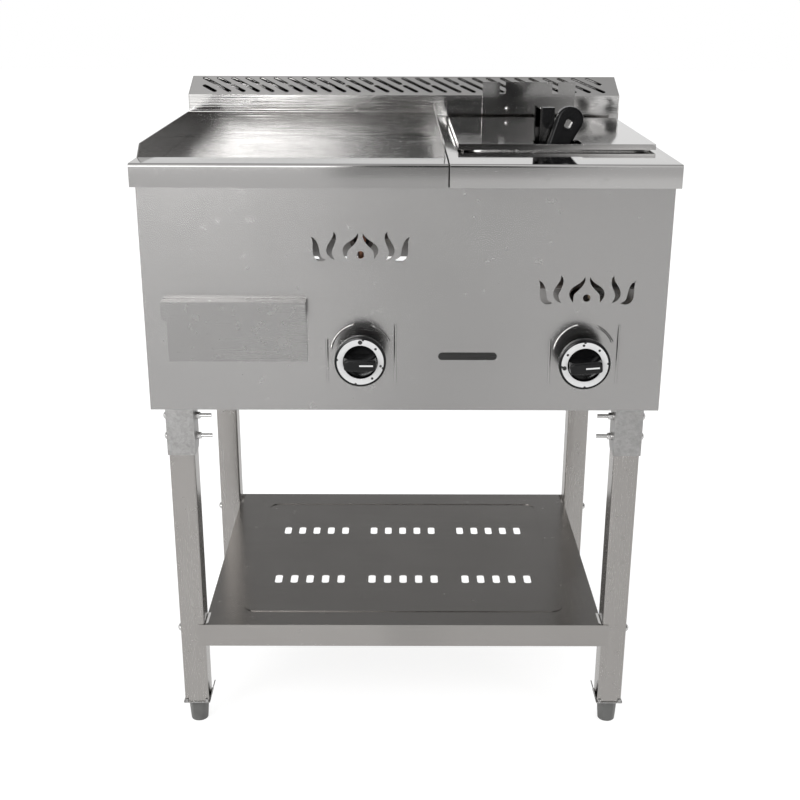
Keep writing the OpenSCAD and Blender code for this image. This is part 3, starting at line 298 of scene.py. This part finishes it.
# Bolts and nuts.
# Bright zinc-plated bolts with domed heads outside the brackets and the shelf, and nuts inside.


def plated(name, tone, rough):
    """Bright plating: a smooth metal with soft clouds and fine turning marks."""
    warmth = 0.01
    finish = Finish(name)
    fine = finish.noise((900, 900, 900), 2.0)
    clouds = finish.noise((160, 160, 160))
    finish.surface(
        Base_Color=finish.blend(clouds, grey(tone * 0.82, warmth), grey(tone * 1.12, warmth)),
        Roughness=(rough + (fine - 0.5) * 0.12).held(),
        Metallic=1.0,
        Normal=finish.relief(fine, 0.00001, 0.4))
    return finish


bright_zinc = plated("bright_zinc", 0.74, 0.16)
for node in ("frame_bolts", "frame_nuts"):
    softened(node, bright_zinc, 0.0002)

# Lower shelf.
# One pan of dark satin steel: folded lips, a raised rectangle with a double bead and two rows of slots.
# Its grain runs from left to right, and bolts hold it between the legs.

shelf_steel = steel("shelf_pan", 0.42, 0.20, "x", 0.035, 0.06, warmth=0.03, stain=0.05)
softened("shelf", shelf_steel, 0.0003)

# Casing.
# Front, side and rear panels of satin steel, screwed together, with a sheet between the two chambers.
# The front has the drawer's opening, two groups of flame vents and pressed marks round the knobs.

casing_steel = steel("casing_sheet", 0.46, 0.22, "x", 0.003, 0.020, depth=0.000001, stain=0.008)
for node in ("front_panel", "side_panel_left", "side_panel_right", "rear_panel"):
    softened(node, casing_steel, 0.0003)
inner_steel = galvanised("inner_sheet", 0.40, 0.45)
for node in ("divider_panel", "drawer_runners", "burner_bars"):
    softened(node, inner_steel, 0)
softened("panel_screws", bright_zinc, 0.00015)

# Gas rail, inlet, tubes and valves.
# A plated rail behind the front panel feeds two brass valves, and copper tubes lead to the burners.


def tarnished(name, clouds, scratches, dull, bright, rough, uneven):
    """Bare brass or copper: clouds from a dull to a bright tone, with gloss that follows them, under scratches."""
    finish = Finish(name)
    tarnish = finish.noise((clouds, clouds, clouds))
    scratch = finish.noise((scratches, scratches, scratches), 2.0)
    return finish.surface(
        Base_Color=finish.blend(tarnish, dull, bright),
        Roughness=(rough + (tarnish - 0.5) * uneven).held(),
        Metallic=1.0,
        Normal=finish.relief(scratch, 0.00002, 0.4))


brass = tarnished("brass", 60, 800, (0.42, 0.27, 0.10, 1), (0.74, 0.54, 0.27, 1), 0.28, 0.2)
copper = tarnished("copper", 50, 700, (0.40, 0.17, 0.10, 1), (0.80, 0.42, 0.29, 1), 0.30, 0.25)
for node in ("gas_rail", "gas_inlet", "valve_left", "valve_right"):
    softened(node, brass, 0.0003)
softened("gas_tubes", copper, 0)
for node in ("stem_left", "stem_right", "push_cap_left", "push_cap_right"):
    softened(node, bright_zinc, 0.0003)

# Burners.
# Tubular burners of dull steel, blued and spotted by heat, on bars across the casing.

burnt = Finish("burner_steel")
heat = burnt.noise((14, 14, 14), 4.0)
spots = burnt.noise((260, 260, 260), 3.0)
burnt.surface(
    Base_Color=burnt.blend((heat * 0.7 + spots * 0.3).held(), (0.09, 0.075, 0.075, 1), (0.30, 0.27, 0.25, 1)),
    Roughness=(0.5 + (spots - 0.5) * 0.3).held(), Metallic=0.9,
    Normal=burnt.relief(spots, 0.00008, 0.6))
for node in ("griddle_burner", "fryer_burner"):
    softened(node, burnt, 0.0003)

# Griddle surround and cooking plate.
# The surround is one folded sheet of satin steel with a rounded apron, two guards and a back wall.
# The plate is thick ground steel with fine grinding marks and a few stains from heat.

surround_steel = steel("surround_sheet", 0.48, 0.085, "x", 0.012, 0.03, depth=0.00001, stain=0.02,
                       rear_grain=(0.245, 12))
softened("griddle_surround", surround_steel, 0.0003)

ground = Finish("ground_plate")
lines = ground.noise((16, 900, 900), 4.0, 0.65)
swirl = ground.noise((60, 260, 60), 3.0, 0.6, (3.0, 0.0, 1.0))
bloom = ground.noise((9, 9, 9), 3.0, 0.5, (0.0, 4.0, 0.0))
spots = ((ground.noise((90, 90, 90), 4.0, 0.6, (1.0, 7.0, 2.0)) - 0.62) * 7).held()
tint = ((lines - 0.5) * 0.35 + (swirl - 0.5) * 0.3 + (bloom - 0.5) * 0.5 - spots * 0.12 + 0.5).held()
ground.surface(
    Base_Color=ground.blend(tint, grey(0.12, 0.03), grey(0.32, 0.02)),
    Roughness=(0.24 + (lines - 0.5) * 0.15 + (bloom - 0.5) * 0.16 + spots * 0.1).held(),
    Metallic=1.0,
    Normal=ground.relief(lines + swirl * 0.5, 0.000012, 0.5))
softened("griddle_plate", ground, 0.0008, 3)

# Fryer top, tank, drain spout and rack.
# The top is polished sheet with a rounded apron. The tank is pressed and welded under it, with a drain
# spout under the griddle plate and a rack of square bars that keeps the basket off the tank's floor.

mirror_steel = steel("mirror_sheet", 0.60, 0.085, "x", 0.006, 0.02, depth=0.0000015, stain=0.015)
softened("fryer_top", mirror_steel, 0.0003)
tank_steel = steel("tank_sheet", 0.50, 0.25, "z", 0.03, 0.05)
for node in ("fryer_tank", "drain_spout", "tank_rack"):
    softened(node, tank_steel, 0.0003)

# Fryer lid.
# A flat lid of mirror-bright sheet with a folded lip and a window that the basket's handle passes through.

lid_steel = steel("lid_sheet", 0.62, 0.07, "x", 0.006, 0.02, depth=0.0000015, stain=0.02, seed=3.0)
softened("fryer_lid", lid_steel, 0.00015)

# Flue box and its end caps.
# A folded box of bright sheet along the back, with rows of slanted slots in its slope.
# Handling has left shallow dents in its front wall, mostly at the right.

# Each dent: the x and z of its middle, its half width, its half height and its depth.
dents = [(0.345, 0.926, 0.020, 0.010, 0.0011), (0.325, 0.936, 0.012, 0.014, -0.0008),
         (0.352, 0.938, 0.010, 0.008, 0.0009), (0.300, 0.930, 0.020, 0.012, 0.0006),
         (-0.14, 0.930, 0.060, 0.012, 0.00008), (-0.30, 0.934, 0.045, 0.010, 0.00008),
         (0.02, 0.928, 0.050, 0.012, 0.0001), (0.20, 0.932, 0.030, 0.012, 0.0002)]


def dented(work):
    """Cuts the front wall into small faces and moves them in depth by a sum of soft round hollows.

    Each hollow is depth times e to the power of minus the squared distance, scaled by its two radii.
    The sum fades to nothing towards the wall's top and bottom edges, and never stands proud."""
    front, same_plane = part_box("flue_box")[0].y, 0.00002
    low, high, half_width, fade_height = 0.905, 0.944, 0.365, 0.006
    level_cuts = [(0, 0, z) for z in np.linspace(low, high, 9)]
    upright_cuts = [(x, 0, 0) for x in np.linspace(-half_width, half_width, 120)]
    for cuts, across in ((level_cuts, (0, 0, 1)), (upright_cuts, (1, 0, 0))):
        for place in cuts:
            faces = [f for f in work.faces if all(abs(v.co.y - front) < same_plane for v in f.verts)]
            parts = faces + list({e for f in faces for e in f.edges}) + list({v for f in faces for v in f.verts})
            bmesh.ops.bisect_plane(work, geom=parts, plane_co=place, plane_no=across)
    moved = [v for v in work.verts if abs(v.co.y - front) < same_plane and low < v.co.z < high]
    at = np.array([v.co for v in moved])
    depth = np.zeros(len(at))
    for x, z, wide, tall, deep in dents:
        depth += deep * np.exp(-((at[:, 0] - x) / wide) ** 2 - ((at[:, 2] - z) / tall) ** 2)
    fade = np.clip((high - at[:, 2]) / fade_height, 0, 1) * np.clip((at[:, 2] - low) / fade_height, 0, 1)
    for vertex, y in zip(moved, at[:, 1] + np.clip(depth, 0, None) * fade):
        vertex.co.y = y


flue_steel = steel("flue_sheet", 0.66, 0.075, "x", 0.010, 0.03, depth=0.00012, stain=0.03, seed=6.0)
softened("flue_box", flue_steel, 0.0003, shape=dented)
for side in ("left", "right"):
    softened("flue_cap_" + side, flue_steel, 0.0003)

# Basket hanger.
# A bright bracket with two hook notches, riveted to the flue, on which the basket drains.

hanger_steel = steel("hanger_sheet", 0.55, 0.10, "x", 0.008, 0.02, depth=0.00002, seed=8.0)
softened("basket_hanger", hanger_steel, 0.0003)
softened("hanger_rivets", bright_zinc, 0.0002)

# Basket.
# Fine plated wire: U-shaped wires both ways, level wires round the sides, a thick rim, and two stouter
# wires under the floor. It drains on the hanger by two wire hooks at its back.


def tube(path, radius, sides, across, closed=False):
    """Rings round a path: the path plus radius times the cosine of the turn along one normal and its
    sine along the other. across is a direction that no part of the path follows."""
    path = np.asarray(path, float)
    along = np.roll(path, -1, 0) - np.roll(path, 1, 0) if closed else np.gradient(path, axis=0)
    along /= np.linalg.norm(along, axis=1)[:, None]
    first = np.cross(along, across)
    first /= np.linalg.norm(first, axis=1)[:, None]
    second = np.cross(along, first)
    turn = np.linspace(0, 2 * np.pi, sides, endpoint=False)[None, :, None]
    return path[:, None] + radius * (np.cos(turn) * first[:, None] + np.sin(turn) * second[:, None])


def grids(name, rings, finish, node, crease=35):
    """One mesh of several grids, each with its flag for joined ends. A grid's rows are closed rings."""
    corners, faces, start = [], [], 0
    for ring, closed in rings:
        rows, sides = ring.shape[:2]
        index = start + np.arange(rows * sides).reshape(rows, sides)
        below, above = (index, np.roll(index, -1, 0)) if closed else (index[:-1], index[1:])
        quads = np.stack([below, np.roll(below, -1, 1), np.roll(above, -1, 1), above], -1)
        faces += quads.reshape(-1, 4).tolist()
        if not closed:
            faces += [index[0][::-1].tolist(), index[-1].tolist()]
        corners.append(ring.reshape(-1, 3))
        start += rows * sides
    mesh = bpy.data.meshes.new(name)
    work = bmesh.new()
    mesh.from_pydata(np.concatenate(corners).tolist(), [], faces)
    work.from_mesh(mesh)
    same_place = 0.0000005
    bmesh.ops.dissolve_degenerate(work, dist=same_place, edges=work.edges)
    bmesh.ops.remove_doubles(work, verts=work.verts, dist=same_place)
    bmesh.ops.recalc_face_normals(work, faces=work.faces)
    work.to_mesh(mesh)
    work.free()
    mesh.polygons.foreach_set("use_smooth", np.ones(len(mesh.polygons), bool))
    mesh.set_sharp_from_angle(angle=math.radians(crease))
    return seat(bpy.data.objects.new(name, mesh), mesh, finish, node)


def rounded(points, radius, steps=4, closed=False):
    """A path through points whose corners are quadratic curves that leave and join the legs at radius."""
    points = np.asarray(points, float)
    before, after = np.roll(points, 1, 0), np.roll(points, -1, 0)
    first = points + (before - points) * (radius / np.linalg.norm(before - points, axis=1))[:, None]
    last = points + (after - points) * (radius / np.linalg.norm(after - points, axis=1))[:, None]
    share = np.linspace(0, 1, steps + 1)[None, :, None]
    curve = (1 - share) ** 2 * first[:, None] + 2 * share * (1 - share) * points[:, None]
    curve = curve + share ** 2 * last[:, None]
    if closed:
        return curve.reshape(-1, 3)
    return np.concatenate([points[:1], curve[1:-1].reshape(-1, 3), points[-1:]])


low, high = (np.array(corner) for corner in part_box("basket"))
rim_wire, mesh_wire, stout_wire = 0.003, 0.0007, 0.0019
bend, pitch, fine_sides, stout_sides = 0.009, 0.0083, 5, 8
rim_z, hook_rise, hook_reach, hook_drop = high[2] - 0.020, 0.018, 0.009, 0.010
west, east, near = low[0] + rim_wire, high[0] - rim_wire, low[1] + rim_wire
far, base = high[1] - 0.002 - hook_reach, low[2] + 0.003
first_gap, last_gap = 0.009, 0.005
wires = []
for x in np.arange(west + first_gap, east - last_gap, pitch):
    path = [(x, near, rim_z), (x, near, base), (x, far, base), (x, far, rim_z)]
    wires.append((tube(rounded(path, bend, 3), mesh_wire, fine_sides, (1, 0, 0)), False))
for y in np.arange(near + first_gap, far - last_gap, pitch):
    path = [(west, y, rim_z), (west, y, base), (east, y, base), (east, y, rim_z)]
    wires.append((tube(rounded(path, bend, 3), mesh_wire, fine_sides, (0, 1, 0)), False))
for z in np.append(np.arange(base + 0.010, rim_z - 0.004, pitch), rim_z):
    path = [(west, near, z), (east, near, z), (east, far, z), (west, far, z)]
    thick, sides = (rim_wire, 12) if z == rim_z else (mesh_wire, fine_sides)
    wires.append((tube(rounded(path, bend, 4, True), thick, sides, (0, 0, 1), True), True))
under, inset = base - 0.001, 0.07
for y in (near + inset, far - inset):
    path = [(west, y, rim_z), (west, y, under), (east, y, under), (east, y, rim_z)]
    wires.append((tube(rounded(path, bend, 4), stout_wire, stout_sides, (0, 1, 0)), False))
hanger_middle, notch_apart = sum(corner.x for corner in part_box("basket_hanger")) / 2, 0.0905
for x in (hanger_middle - notch_apart / 2, hanger_middle + notch_apart / 2):
    top, back = rim_z + hook_rise, far + hook_reach
    path = [(x, far, rim_z), (x, far, top), (x, back, top), (x, back, top - hook_drop)]
    wires.append((tube(rounded(path, 0.0035, 4), stout_wire, 10, (1, 0, 0)), False))
grids("basket_form", wires, plated("basket_wire", 0.60, 0.20), "basket")

# Basket's bracket, block and grip.
# The bracket is a bent strip of dark steel with one wing. A moulded block with a screw is fixed to its
# top, and a glossy black grip with a hanging slot swings on a screw beside it.

pivot = sum(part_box("grip_screw"), Vector()) / 2
grip_lean, grip_turn = math.radians(21), math.radians(2.6)
head_reach, head_growth = 0.0595, 0.10
grip_up = Vector((math.sin(grip_lean), 0, math.cos(grip_lean)))
grip_across = Vector((math.cos(grip_lean), 0, -math.sin(grip_lean)))


def swollen(work):
    """Widens the grip evenly towards its head and leans it a little more, both about its pivot."""
    for vertex in work.verts:
        offset = vertex.co - pivot
        along, across = offset.dot(grip_up), offset.dot(grip_across)
        across *= 1 + head_growth * min(max(along / head_reach, 0), 1)
        moved = grip_up * along + grip_across * across
        turned = Matrix.Rotation(grip_turn, 3, "Y") @ moved
        vertex.co = Vector((pivot.x + turned.x, vertex.co.y, pivot.z + turned.z))


def outer(middle, first, second):
    """1 where a flat face meets the outside of the outline, and 0.1 at the slot and the holes.

    Outside means that the side face looks away from the line between the pivot and the head, and lies
    farther from it than the slot's wall does."""
    slot_wall = 0.009
    flat_first = np.abs(first[:, 1]) > 0.9
    flat_second = np.abs(second[:, 1]) > 0.9
    side = np.where(flat_first[:, None], second, first)
    lean = grip_lean + grip_turn
    axis = np.array((math.sin(lean), 0, math.cos(lean)))
    along = np.clip((middle - np.array(pivot)) @ axis, 0, head_reach)
    out = ((middle - np.array(pivot) - along[:, None] * axis) * side)[:, [0, 2]].sum(1)
    return np.where(flat_first != flat_second, np.where(out > slot_wall, 1.0, 0.1), 0.0)


dark_steel = steel("dark_bracket", 0.06, 0.20, "z", 0.02, 0.06, depth=0.000005)
softened("handle_bracket", dark_steel, 0.0004)
softened("grip_screw", bright_zinc, 0.0002)
gloss_black = moulded("gloss_black", (0.003, 0.003, 0.0035), 0.22, 0.000006, 0.002, 0.20)
softened("handle_block", gloss_black, 0.0009, 3)
softened("basket_grip", gloss_black, 0.0035, 5, outer, swollen)

# Knobs.
# Glossy black mouldings: a neck, a thick disc with a dished face, and a grip bar with a plain white line.


def lathe(profile, x, z, sides=96):
    """Rings round a level axis: radius times the cosine of the turn in x, and times its sine in z."""
    profile = np.asarray(profile, float)
    turn = np.linspace(0, 2 * np.pi, sides, endpoint=False)[None, :]
    radius, depth = profile[:, :1], profile[:, 1:2] + 0 * turn
    return np.stack([x + radius * np.cos(turn), depth, z + radius * np.sin(turn)], -1)


def bar_rings(x, z, long, wide, front, root, tilt):
    """A bar with rounded edges: a super-ellipse of the sixth power, its two half widths shrinking by a
    slight taper and, at the front, by a quarter round."""
    corner, taper, sides = 0.0028, 0.0009, 72
    turn = np.linspace(0, 2 * np.pi, sides, endpoint=False)
    shape = [np.sign(f(turn)) * np.abs(f(turn)) ** (1 / 3) for f in (np.cos, np.sin)]
    bend = np.linspace(0, np.pi / 2, 7)
    depth = np.concatenate([np.linspace(root, front + corner, 6)[:-1], front + corner - corner * np.sin(bend)])
    slope = np.concatenate([np.linspace(0, taper, 6)[:-1], taper + corner * (1 - np.cos(bend))])
    rows = np.concatenate([slope, [wide * 0.6, wide]])
    depth = np.concatenate([depth, [front, front]])
    a, b = (long - rows)[:, None] * shape[0], (wide - rows)[:, None] * shape[1]
    c, s = math.cos(tilt), math.sin(tilt)
    return np.stack([x + a * c - b * s, depth[:, None] + 0 * a, z + a * s + b * c], -1)


def knob_finish(name, x, z, tilt, front):
    """Glossy black plastic with a short white line printed on the front of the bar."""
    finish = Finish(name)
    c, s = math.cos(tilt), math.sin(tilt)
    dx, dz = finish.axis(0) - x, finish.axis(2) - z
    along, over = dx * c + dz * s, dz * c - dx * s
    half_wide, half_long, middle, skin = 0.0011, 0.0095, 0.0085, 0.0004
    line = (half_wide - over.size()).above(0.0) * (half_long - (along - middle).size()).above(0.0)
    printed = line * (front + skin - finish.axis(1)).above(0.0)
    fine = finish.noise((1500, 1500, 1500), 2.0)
    dust = finish.noise((220, 220, 220), 4.0)
    black = finish.blend(dust, (0.004, 0.004, 0.005, 1), (0.010, 0.010, 0.010, 1))
    finish.surface(
        Base_Color=finish.blend(printed, black, grey(0.82)),
        Roughness=(0.16 + (fine - 0.5) * 0.06 + (dust - 0.5) * 0.10 + printed * 0.2).held(),
        Specular_IOR_Level=0.32,
        Normal=finish.relief(fine, 0.000006, 0.4))
    return finish


for side, tilt in (("left", 0.0), ("right", math.radians(4.5))):
    low, high = (np.array(corner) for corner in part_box("knob_" + side))
    x, z = (low[0] + high[0]) / 2, (low[2] + high[2]) / 2
    front, rear = low[1] + 0.00001, high[1]
    face, edge_r, dish_r, boss_r, bore_r = front + 0.018, (high[0] - low[0]) / 2, 0.0242, 0.0230, 0.0104
    dish = [(0.0, face + 0.0082), (0.0150, face + 0.0082), (dish_r - 0.0035, face + 0.0080),
            (dish_r - 0.0012, face + 0.0072), (dish_r - 0.0002, face + 0.0050), (dish_r, face + 0.0008)]
    disc = [(dish_r + 0.0006, face), (edge_r - 0.0010, face), (edge_r - 0.0003, face + 0.0003),
            (edge_r, face + 0.0010), (edge_r, face + 0.0100), (edge_r - 0.0008, face + 0.0128),
            (edge_r - 0.0030, face + 0.0140)]
    neck = [(0.0262, face + 0.0142), (0.0236, face + 0.0150), (boss_r, face + 0.0175), (boss_r, rear - 0.0008),
            (boss_r - 0.0008, rear)]
    bore = [(bore_r + 0.0004, rear), (bore_r, rear - 0.0004), (bore_r, rear - 0.0138), (0.0, rear - 0.0140)]
    bar_long, bar_wide, bar_root = 0.0233, 0.0094, face + 0.0090
    rings = [(lathe(dish + disc + neck + bore, x, z), False),
             (bar_rings(x, z, bar_long, bar_wide, front, bar_root, tilt), False)]
    grids("knob_%s_form" % side, rings, knob_finish("knob_" + side, x, z, tilt, front), "knob_" + side, 40)

# Dials.
# A white printed ring on each knob's disc, with a large dot, three small marks and four notches at its edge.

big_r, small_r, middle_r, corner = 0.0031, 0.0018, 0.0287, 0.0003
for side, dot, small, notch in (("left", 90, (42, -11, -55), (83, 174, -15, -102)),
                                ("right", 189, (96, 48, 149), (92, 185, 4, -88))):
    low, high = (np.array(corner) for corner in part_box("dial_" + side))
    x, z, front, back = (low[0] + high[0]) / 2, (low[2] + high[2]) / 2, low[1], high[1]
    outer_r, inner_r = (high[0] - low[0]) / 2 - 0.0014, 0.0242
    profile = [(inner_r, back), (inner_r, front + corner), (inner_r + corner, front), (outer_r - corner, front),
               (outer_r, front + corner), (outer_r, back)]
    print_ring = Finish("dial_" + side)
    dx, dz = print_ring.axis(0) - x, print_ring.axis(2) - z
    marks = [(dot, middle_r, big_r)]
    marks += [(turn, middle_r, small_r) for turn in small] + [(turn, outer_r, small_r) for turn in notch]
    ink = 0.0
    for turn, far_out, radius in marks:
        across = dx - far_out * math.cos(math.radians(turn))
        over = dz - far_out * math.sin(math.radians(turn))
        ink = (radius * radius - across * across - over * over).above(0.0).most(ink)
    fine = print_ring.noise((900, 900, 900), 2.0)
    age = print_ring.noise((160, 160, 160), 3.0)
    print_ring.surface(
        Base_Color=print_ring.blend(ink, print_ring.blend(age, grey(0.74), grey(0.84)), grey(0.015)),
        Roughness=(0.35 + (fine - 0.5) * 0.12).held(),
        Normal=print_ring.relief(fine, 0.000008, 0.4))
    grids("dial_%s_form" % side, [(lathe(profile, x, z), True)], print_ring, "dial_" + side, 40)

# Drawer.
# An open tray of galvanised sheet behind a face plate of satin steel, whose upper edge is folded forward
# as a handle lip. It slides on two runners.

drawer_steel = steel("drawer_sheet", 0.38, 0.26, "x", 0.004, 0.015, depth=0.000003)
softened("drawer_front", drawer_steel, 0.0003)
softened("drawer_tray", inner_steel, 0.0003)

# Name plate.
# A small plain plate with round ends on the front panel, dark and faintly brushed. It is left bare.

plate_dark = steel("dark_plate", 0.06, 0.30, "x", 0.08, 0.05, depth=0.000006)
softened("nameplate", plate_dark, 0.0002)

# Studio.
# The camera stands where the photograph's stood. A pale floor and world, two soft lamps and a top lamp.
# What shiny steel mirrors is brighter at the left, dark in the middle and paler at the right.

eye = Vector((-0.0129, -1.8804, 1.1383))
yaw, pitch, roll = math.radians(0.21), math.radians(19.47), math.radians(0.20)
ahead = Vector((math.sin(yaw) * math.cos(pitch), math.cos(yaw) * math.cos(pitch), -math.sin(pitch)))
level = Vector((math.cos(yaw), -math.sin(yaw), 0))
upright = level.cross(ahead)
right = level * math.cos(roll) + upright * math.sin(roll)
up = upright * math.cos(roll) - level * math.sin(roll)
lens = bpy.data.cameras.new("photo_camera")
lens.sensor_width, lens.lens = 36, 53.9
camera = bpy.data.objects.new("photo_camera", lens)
camera.matrix_world = Matrix.Translation(eye) @ Matrix((right, up, -ahead)).transposed().to_4x4()
scene.collection.objects.link(camera)
scene.camera = camera


def ramp(value, start, end, low, high):
    """Goes smoothly from low to high while value goes from start to end, and stays level outside."""
    return value.finish.node(
        "ShaderNodeMapRange", {"interpolation_type": "SMOOTHSTEP"},
        {0: value, 1: start, 2: end, 3: low, 4: high})


def reflected_front(x, depth):
    """Painted reflection: the tones in which the floor in front glows for shiny steel only: a left, a middle and a
    right tone, nearby and far off.

    x and depth are metres to the right of and in front of the object."""
    aside = x / depth.most(0.3)
    left = ramp(aside, -0.073, -0.050, 1.0, 0.0)
    far_right = ramp(aside, 0.10, 0.20, 0.0, 1.0)
    near_tone = left * 0.14 + far_right * 0.09 + 0.65
    far_tone = left * 0.40 + far_right * 0.15 + 0.40
    far = ramp(depth, 7.0, 8.5, 0.0, 1.0)
    return near_tone * (1 - far) + far_tone * far


half = 14
floor_mesh = bpy.data.meshes.new("studio_floor")
floor_mesh.from_pydata(
    [(-half, -half, 0), (half, -half, 0), (half, half, 0), (-half, half, 0)], [], [(0, 1, 2, 3)])
floor = bpy.data.objects.new("studio_floor", floor_mesh)
floor.location.z = -0.0005
scene.collection.objects.link(floor)
paper = Finish("studio_paper")
seen = paper.node("ShaderNodeLightPath", out=0)
glossy = paper.node("ShaderNodeLightPath", out=3)
lit = paper.node("ShaderNodeBsdfDiffuse", None, {"Color": grey(0.80)})
shadow_catch = paper.node("ShaderNodeBsdfDiffuse", None, {"Color": grey(0.36)})
white = paper.node("ShaderNodeEmission", None, {"Color": grey(1.0), "Strength": 0.80})
shown = paper.node("ShaderNodeAddShader", None, {0: shadow_catch, 1: white})
front_tone = reflected_front(paper.axis(0), -1.0 * paper.axis(1))
behind = ramp(paper.axis(1), -0.9, 0.3, 0.0, 1.0)
painted_reflection_tone = behind * 0.75 + front_tone * (1 - behind)
# Painted reflection: for glossy rays only, the floor glows in tones set by place, brighter at the left, dark in the
# middle and paler at the right and behind.
mirrored = paper.node("ShaderNodeEmission", None, {"Color": grey(1.0), "Strength": painted_reflection_tone})
other = paper.node("ShaderNodeMixShader", None, {0: glossy, 1: lit, 2: mirrored})
sheet = paper.node("ShaderNodeMixShader", None, {0: seen, 1: other, 2: shown})
paper.node("ShaderNodeOutputMaterial", None, {"Surface": sheet})
paper.material.cycles.emission_sampling = "NONE"
floor_mesh.materials.append(paper.material)

world = bpy.data.worlds.new("studio")
scene.world = world
world.cycles.sampling_method = "NONE"
air = Finish("studio", world)
wx, wy, wz = (
    air.node("ShaderNodeSeparateXYZ", None, {0: air.node("ShaderNodeTexCoord", out=0)}, out=i) for i in range(3))
aside = wx / wy.size().most(0.05)
to_left = ramp(aside, -0.058, -0.040, 1.0, 0.0) * ramp(aside, -1.3, -0.9, 0.3, 1.0)
to_right = ramp(aside, 0.10, 0.20, 0.0, 1.0) * ramp(aside, 0.35, 0.60, 1.0, 0.1)
over_floor = ramp(wz, 0.108, 0.118, 1.0, 0.0) * 0.03
lit_band = ramp(wz, 0.108, 0.118, 0.0, 1.0) * ramp(wz, 0.140, 0.170, 1.0, 0.0) * (to_right * 0.65 + 0.10)
upper = ramp(wz, 0.150, 0.190, 0.0, 0.03) + ramp(wz, 0.60, 0.85, 0.0, 0.45)
middle = over_floor + lit_band + upper + to_right * 0.55
low_window = ramp(wz, 0.02, 0.06, 0.0, 9.0) * ramp(wz, 0.105, 0.135, 1.0, 0.0)
high_window = ramp(wz, 0.25, 0.60, 2.2, 0.9)
in_front = to_left * (low_window + high_window) + (1 - to_left) * middle
low_back = ramp(wz, 0.20, 0.36, 0.85, 0.22)
high_back = ramp(wz, 0.50, 0.78, 0.0, 1.0) * ramp(wx, -0.12, 0.10, 0.36, 0.20)
turned = ramp(wy, -0.12, 0.12, 0.0, 1.0)
room = in_front * (1 - turned) + (low_back + high_back) * turned
glossy = air.node("ShaderNodeLightPath", out=3)
seen = air.node("ShaderNodeLightPath", out=0)
strength = seen + (1 - seen) * (glossy * room + (1 - glossy) * 0.80)
sky = air.node("ShaderNodeBackground", None, {"Color": grey(1.0), "Strength": strength})
air.node("ShaderNodeOutputWorld", None, {"Surface": sky})


def softbox(name, place, aim, width, height, power):
    """A rectangular lamp, turned to what it lights, that shiny steel doesn't mirror."""
    light = bpy.data.lights.new(name, "AREA")
    light.shape = "RECTANGLE"
    light.size, light.size_y, light.energy = width, height, power
    box = bpy.data.objects.new(name, light)
    towards = Vector(aim) - Vector(place)
    box.matrix_world = Matrix.Translation(place) @ towards.to_track_quat("-Z", "Y").to_matrix().to_4x4()
    box.visible_glossy = False
    scene.collection.objects.link(box)


softbox("key_light", (-2.2, -2.4, 2.6), (0, 0, 0.6), 1.4, 1.4, 34)
softbox("fill_light", (2.6, -1.8, 2.2), (0, 0, 0.6), 1.0, 1.4, 14)
softbox("top_light", (0, 0.6, 3.0), (0, 0, 0.8), 1.8, 1.4, 18)
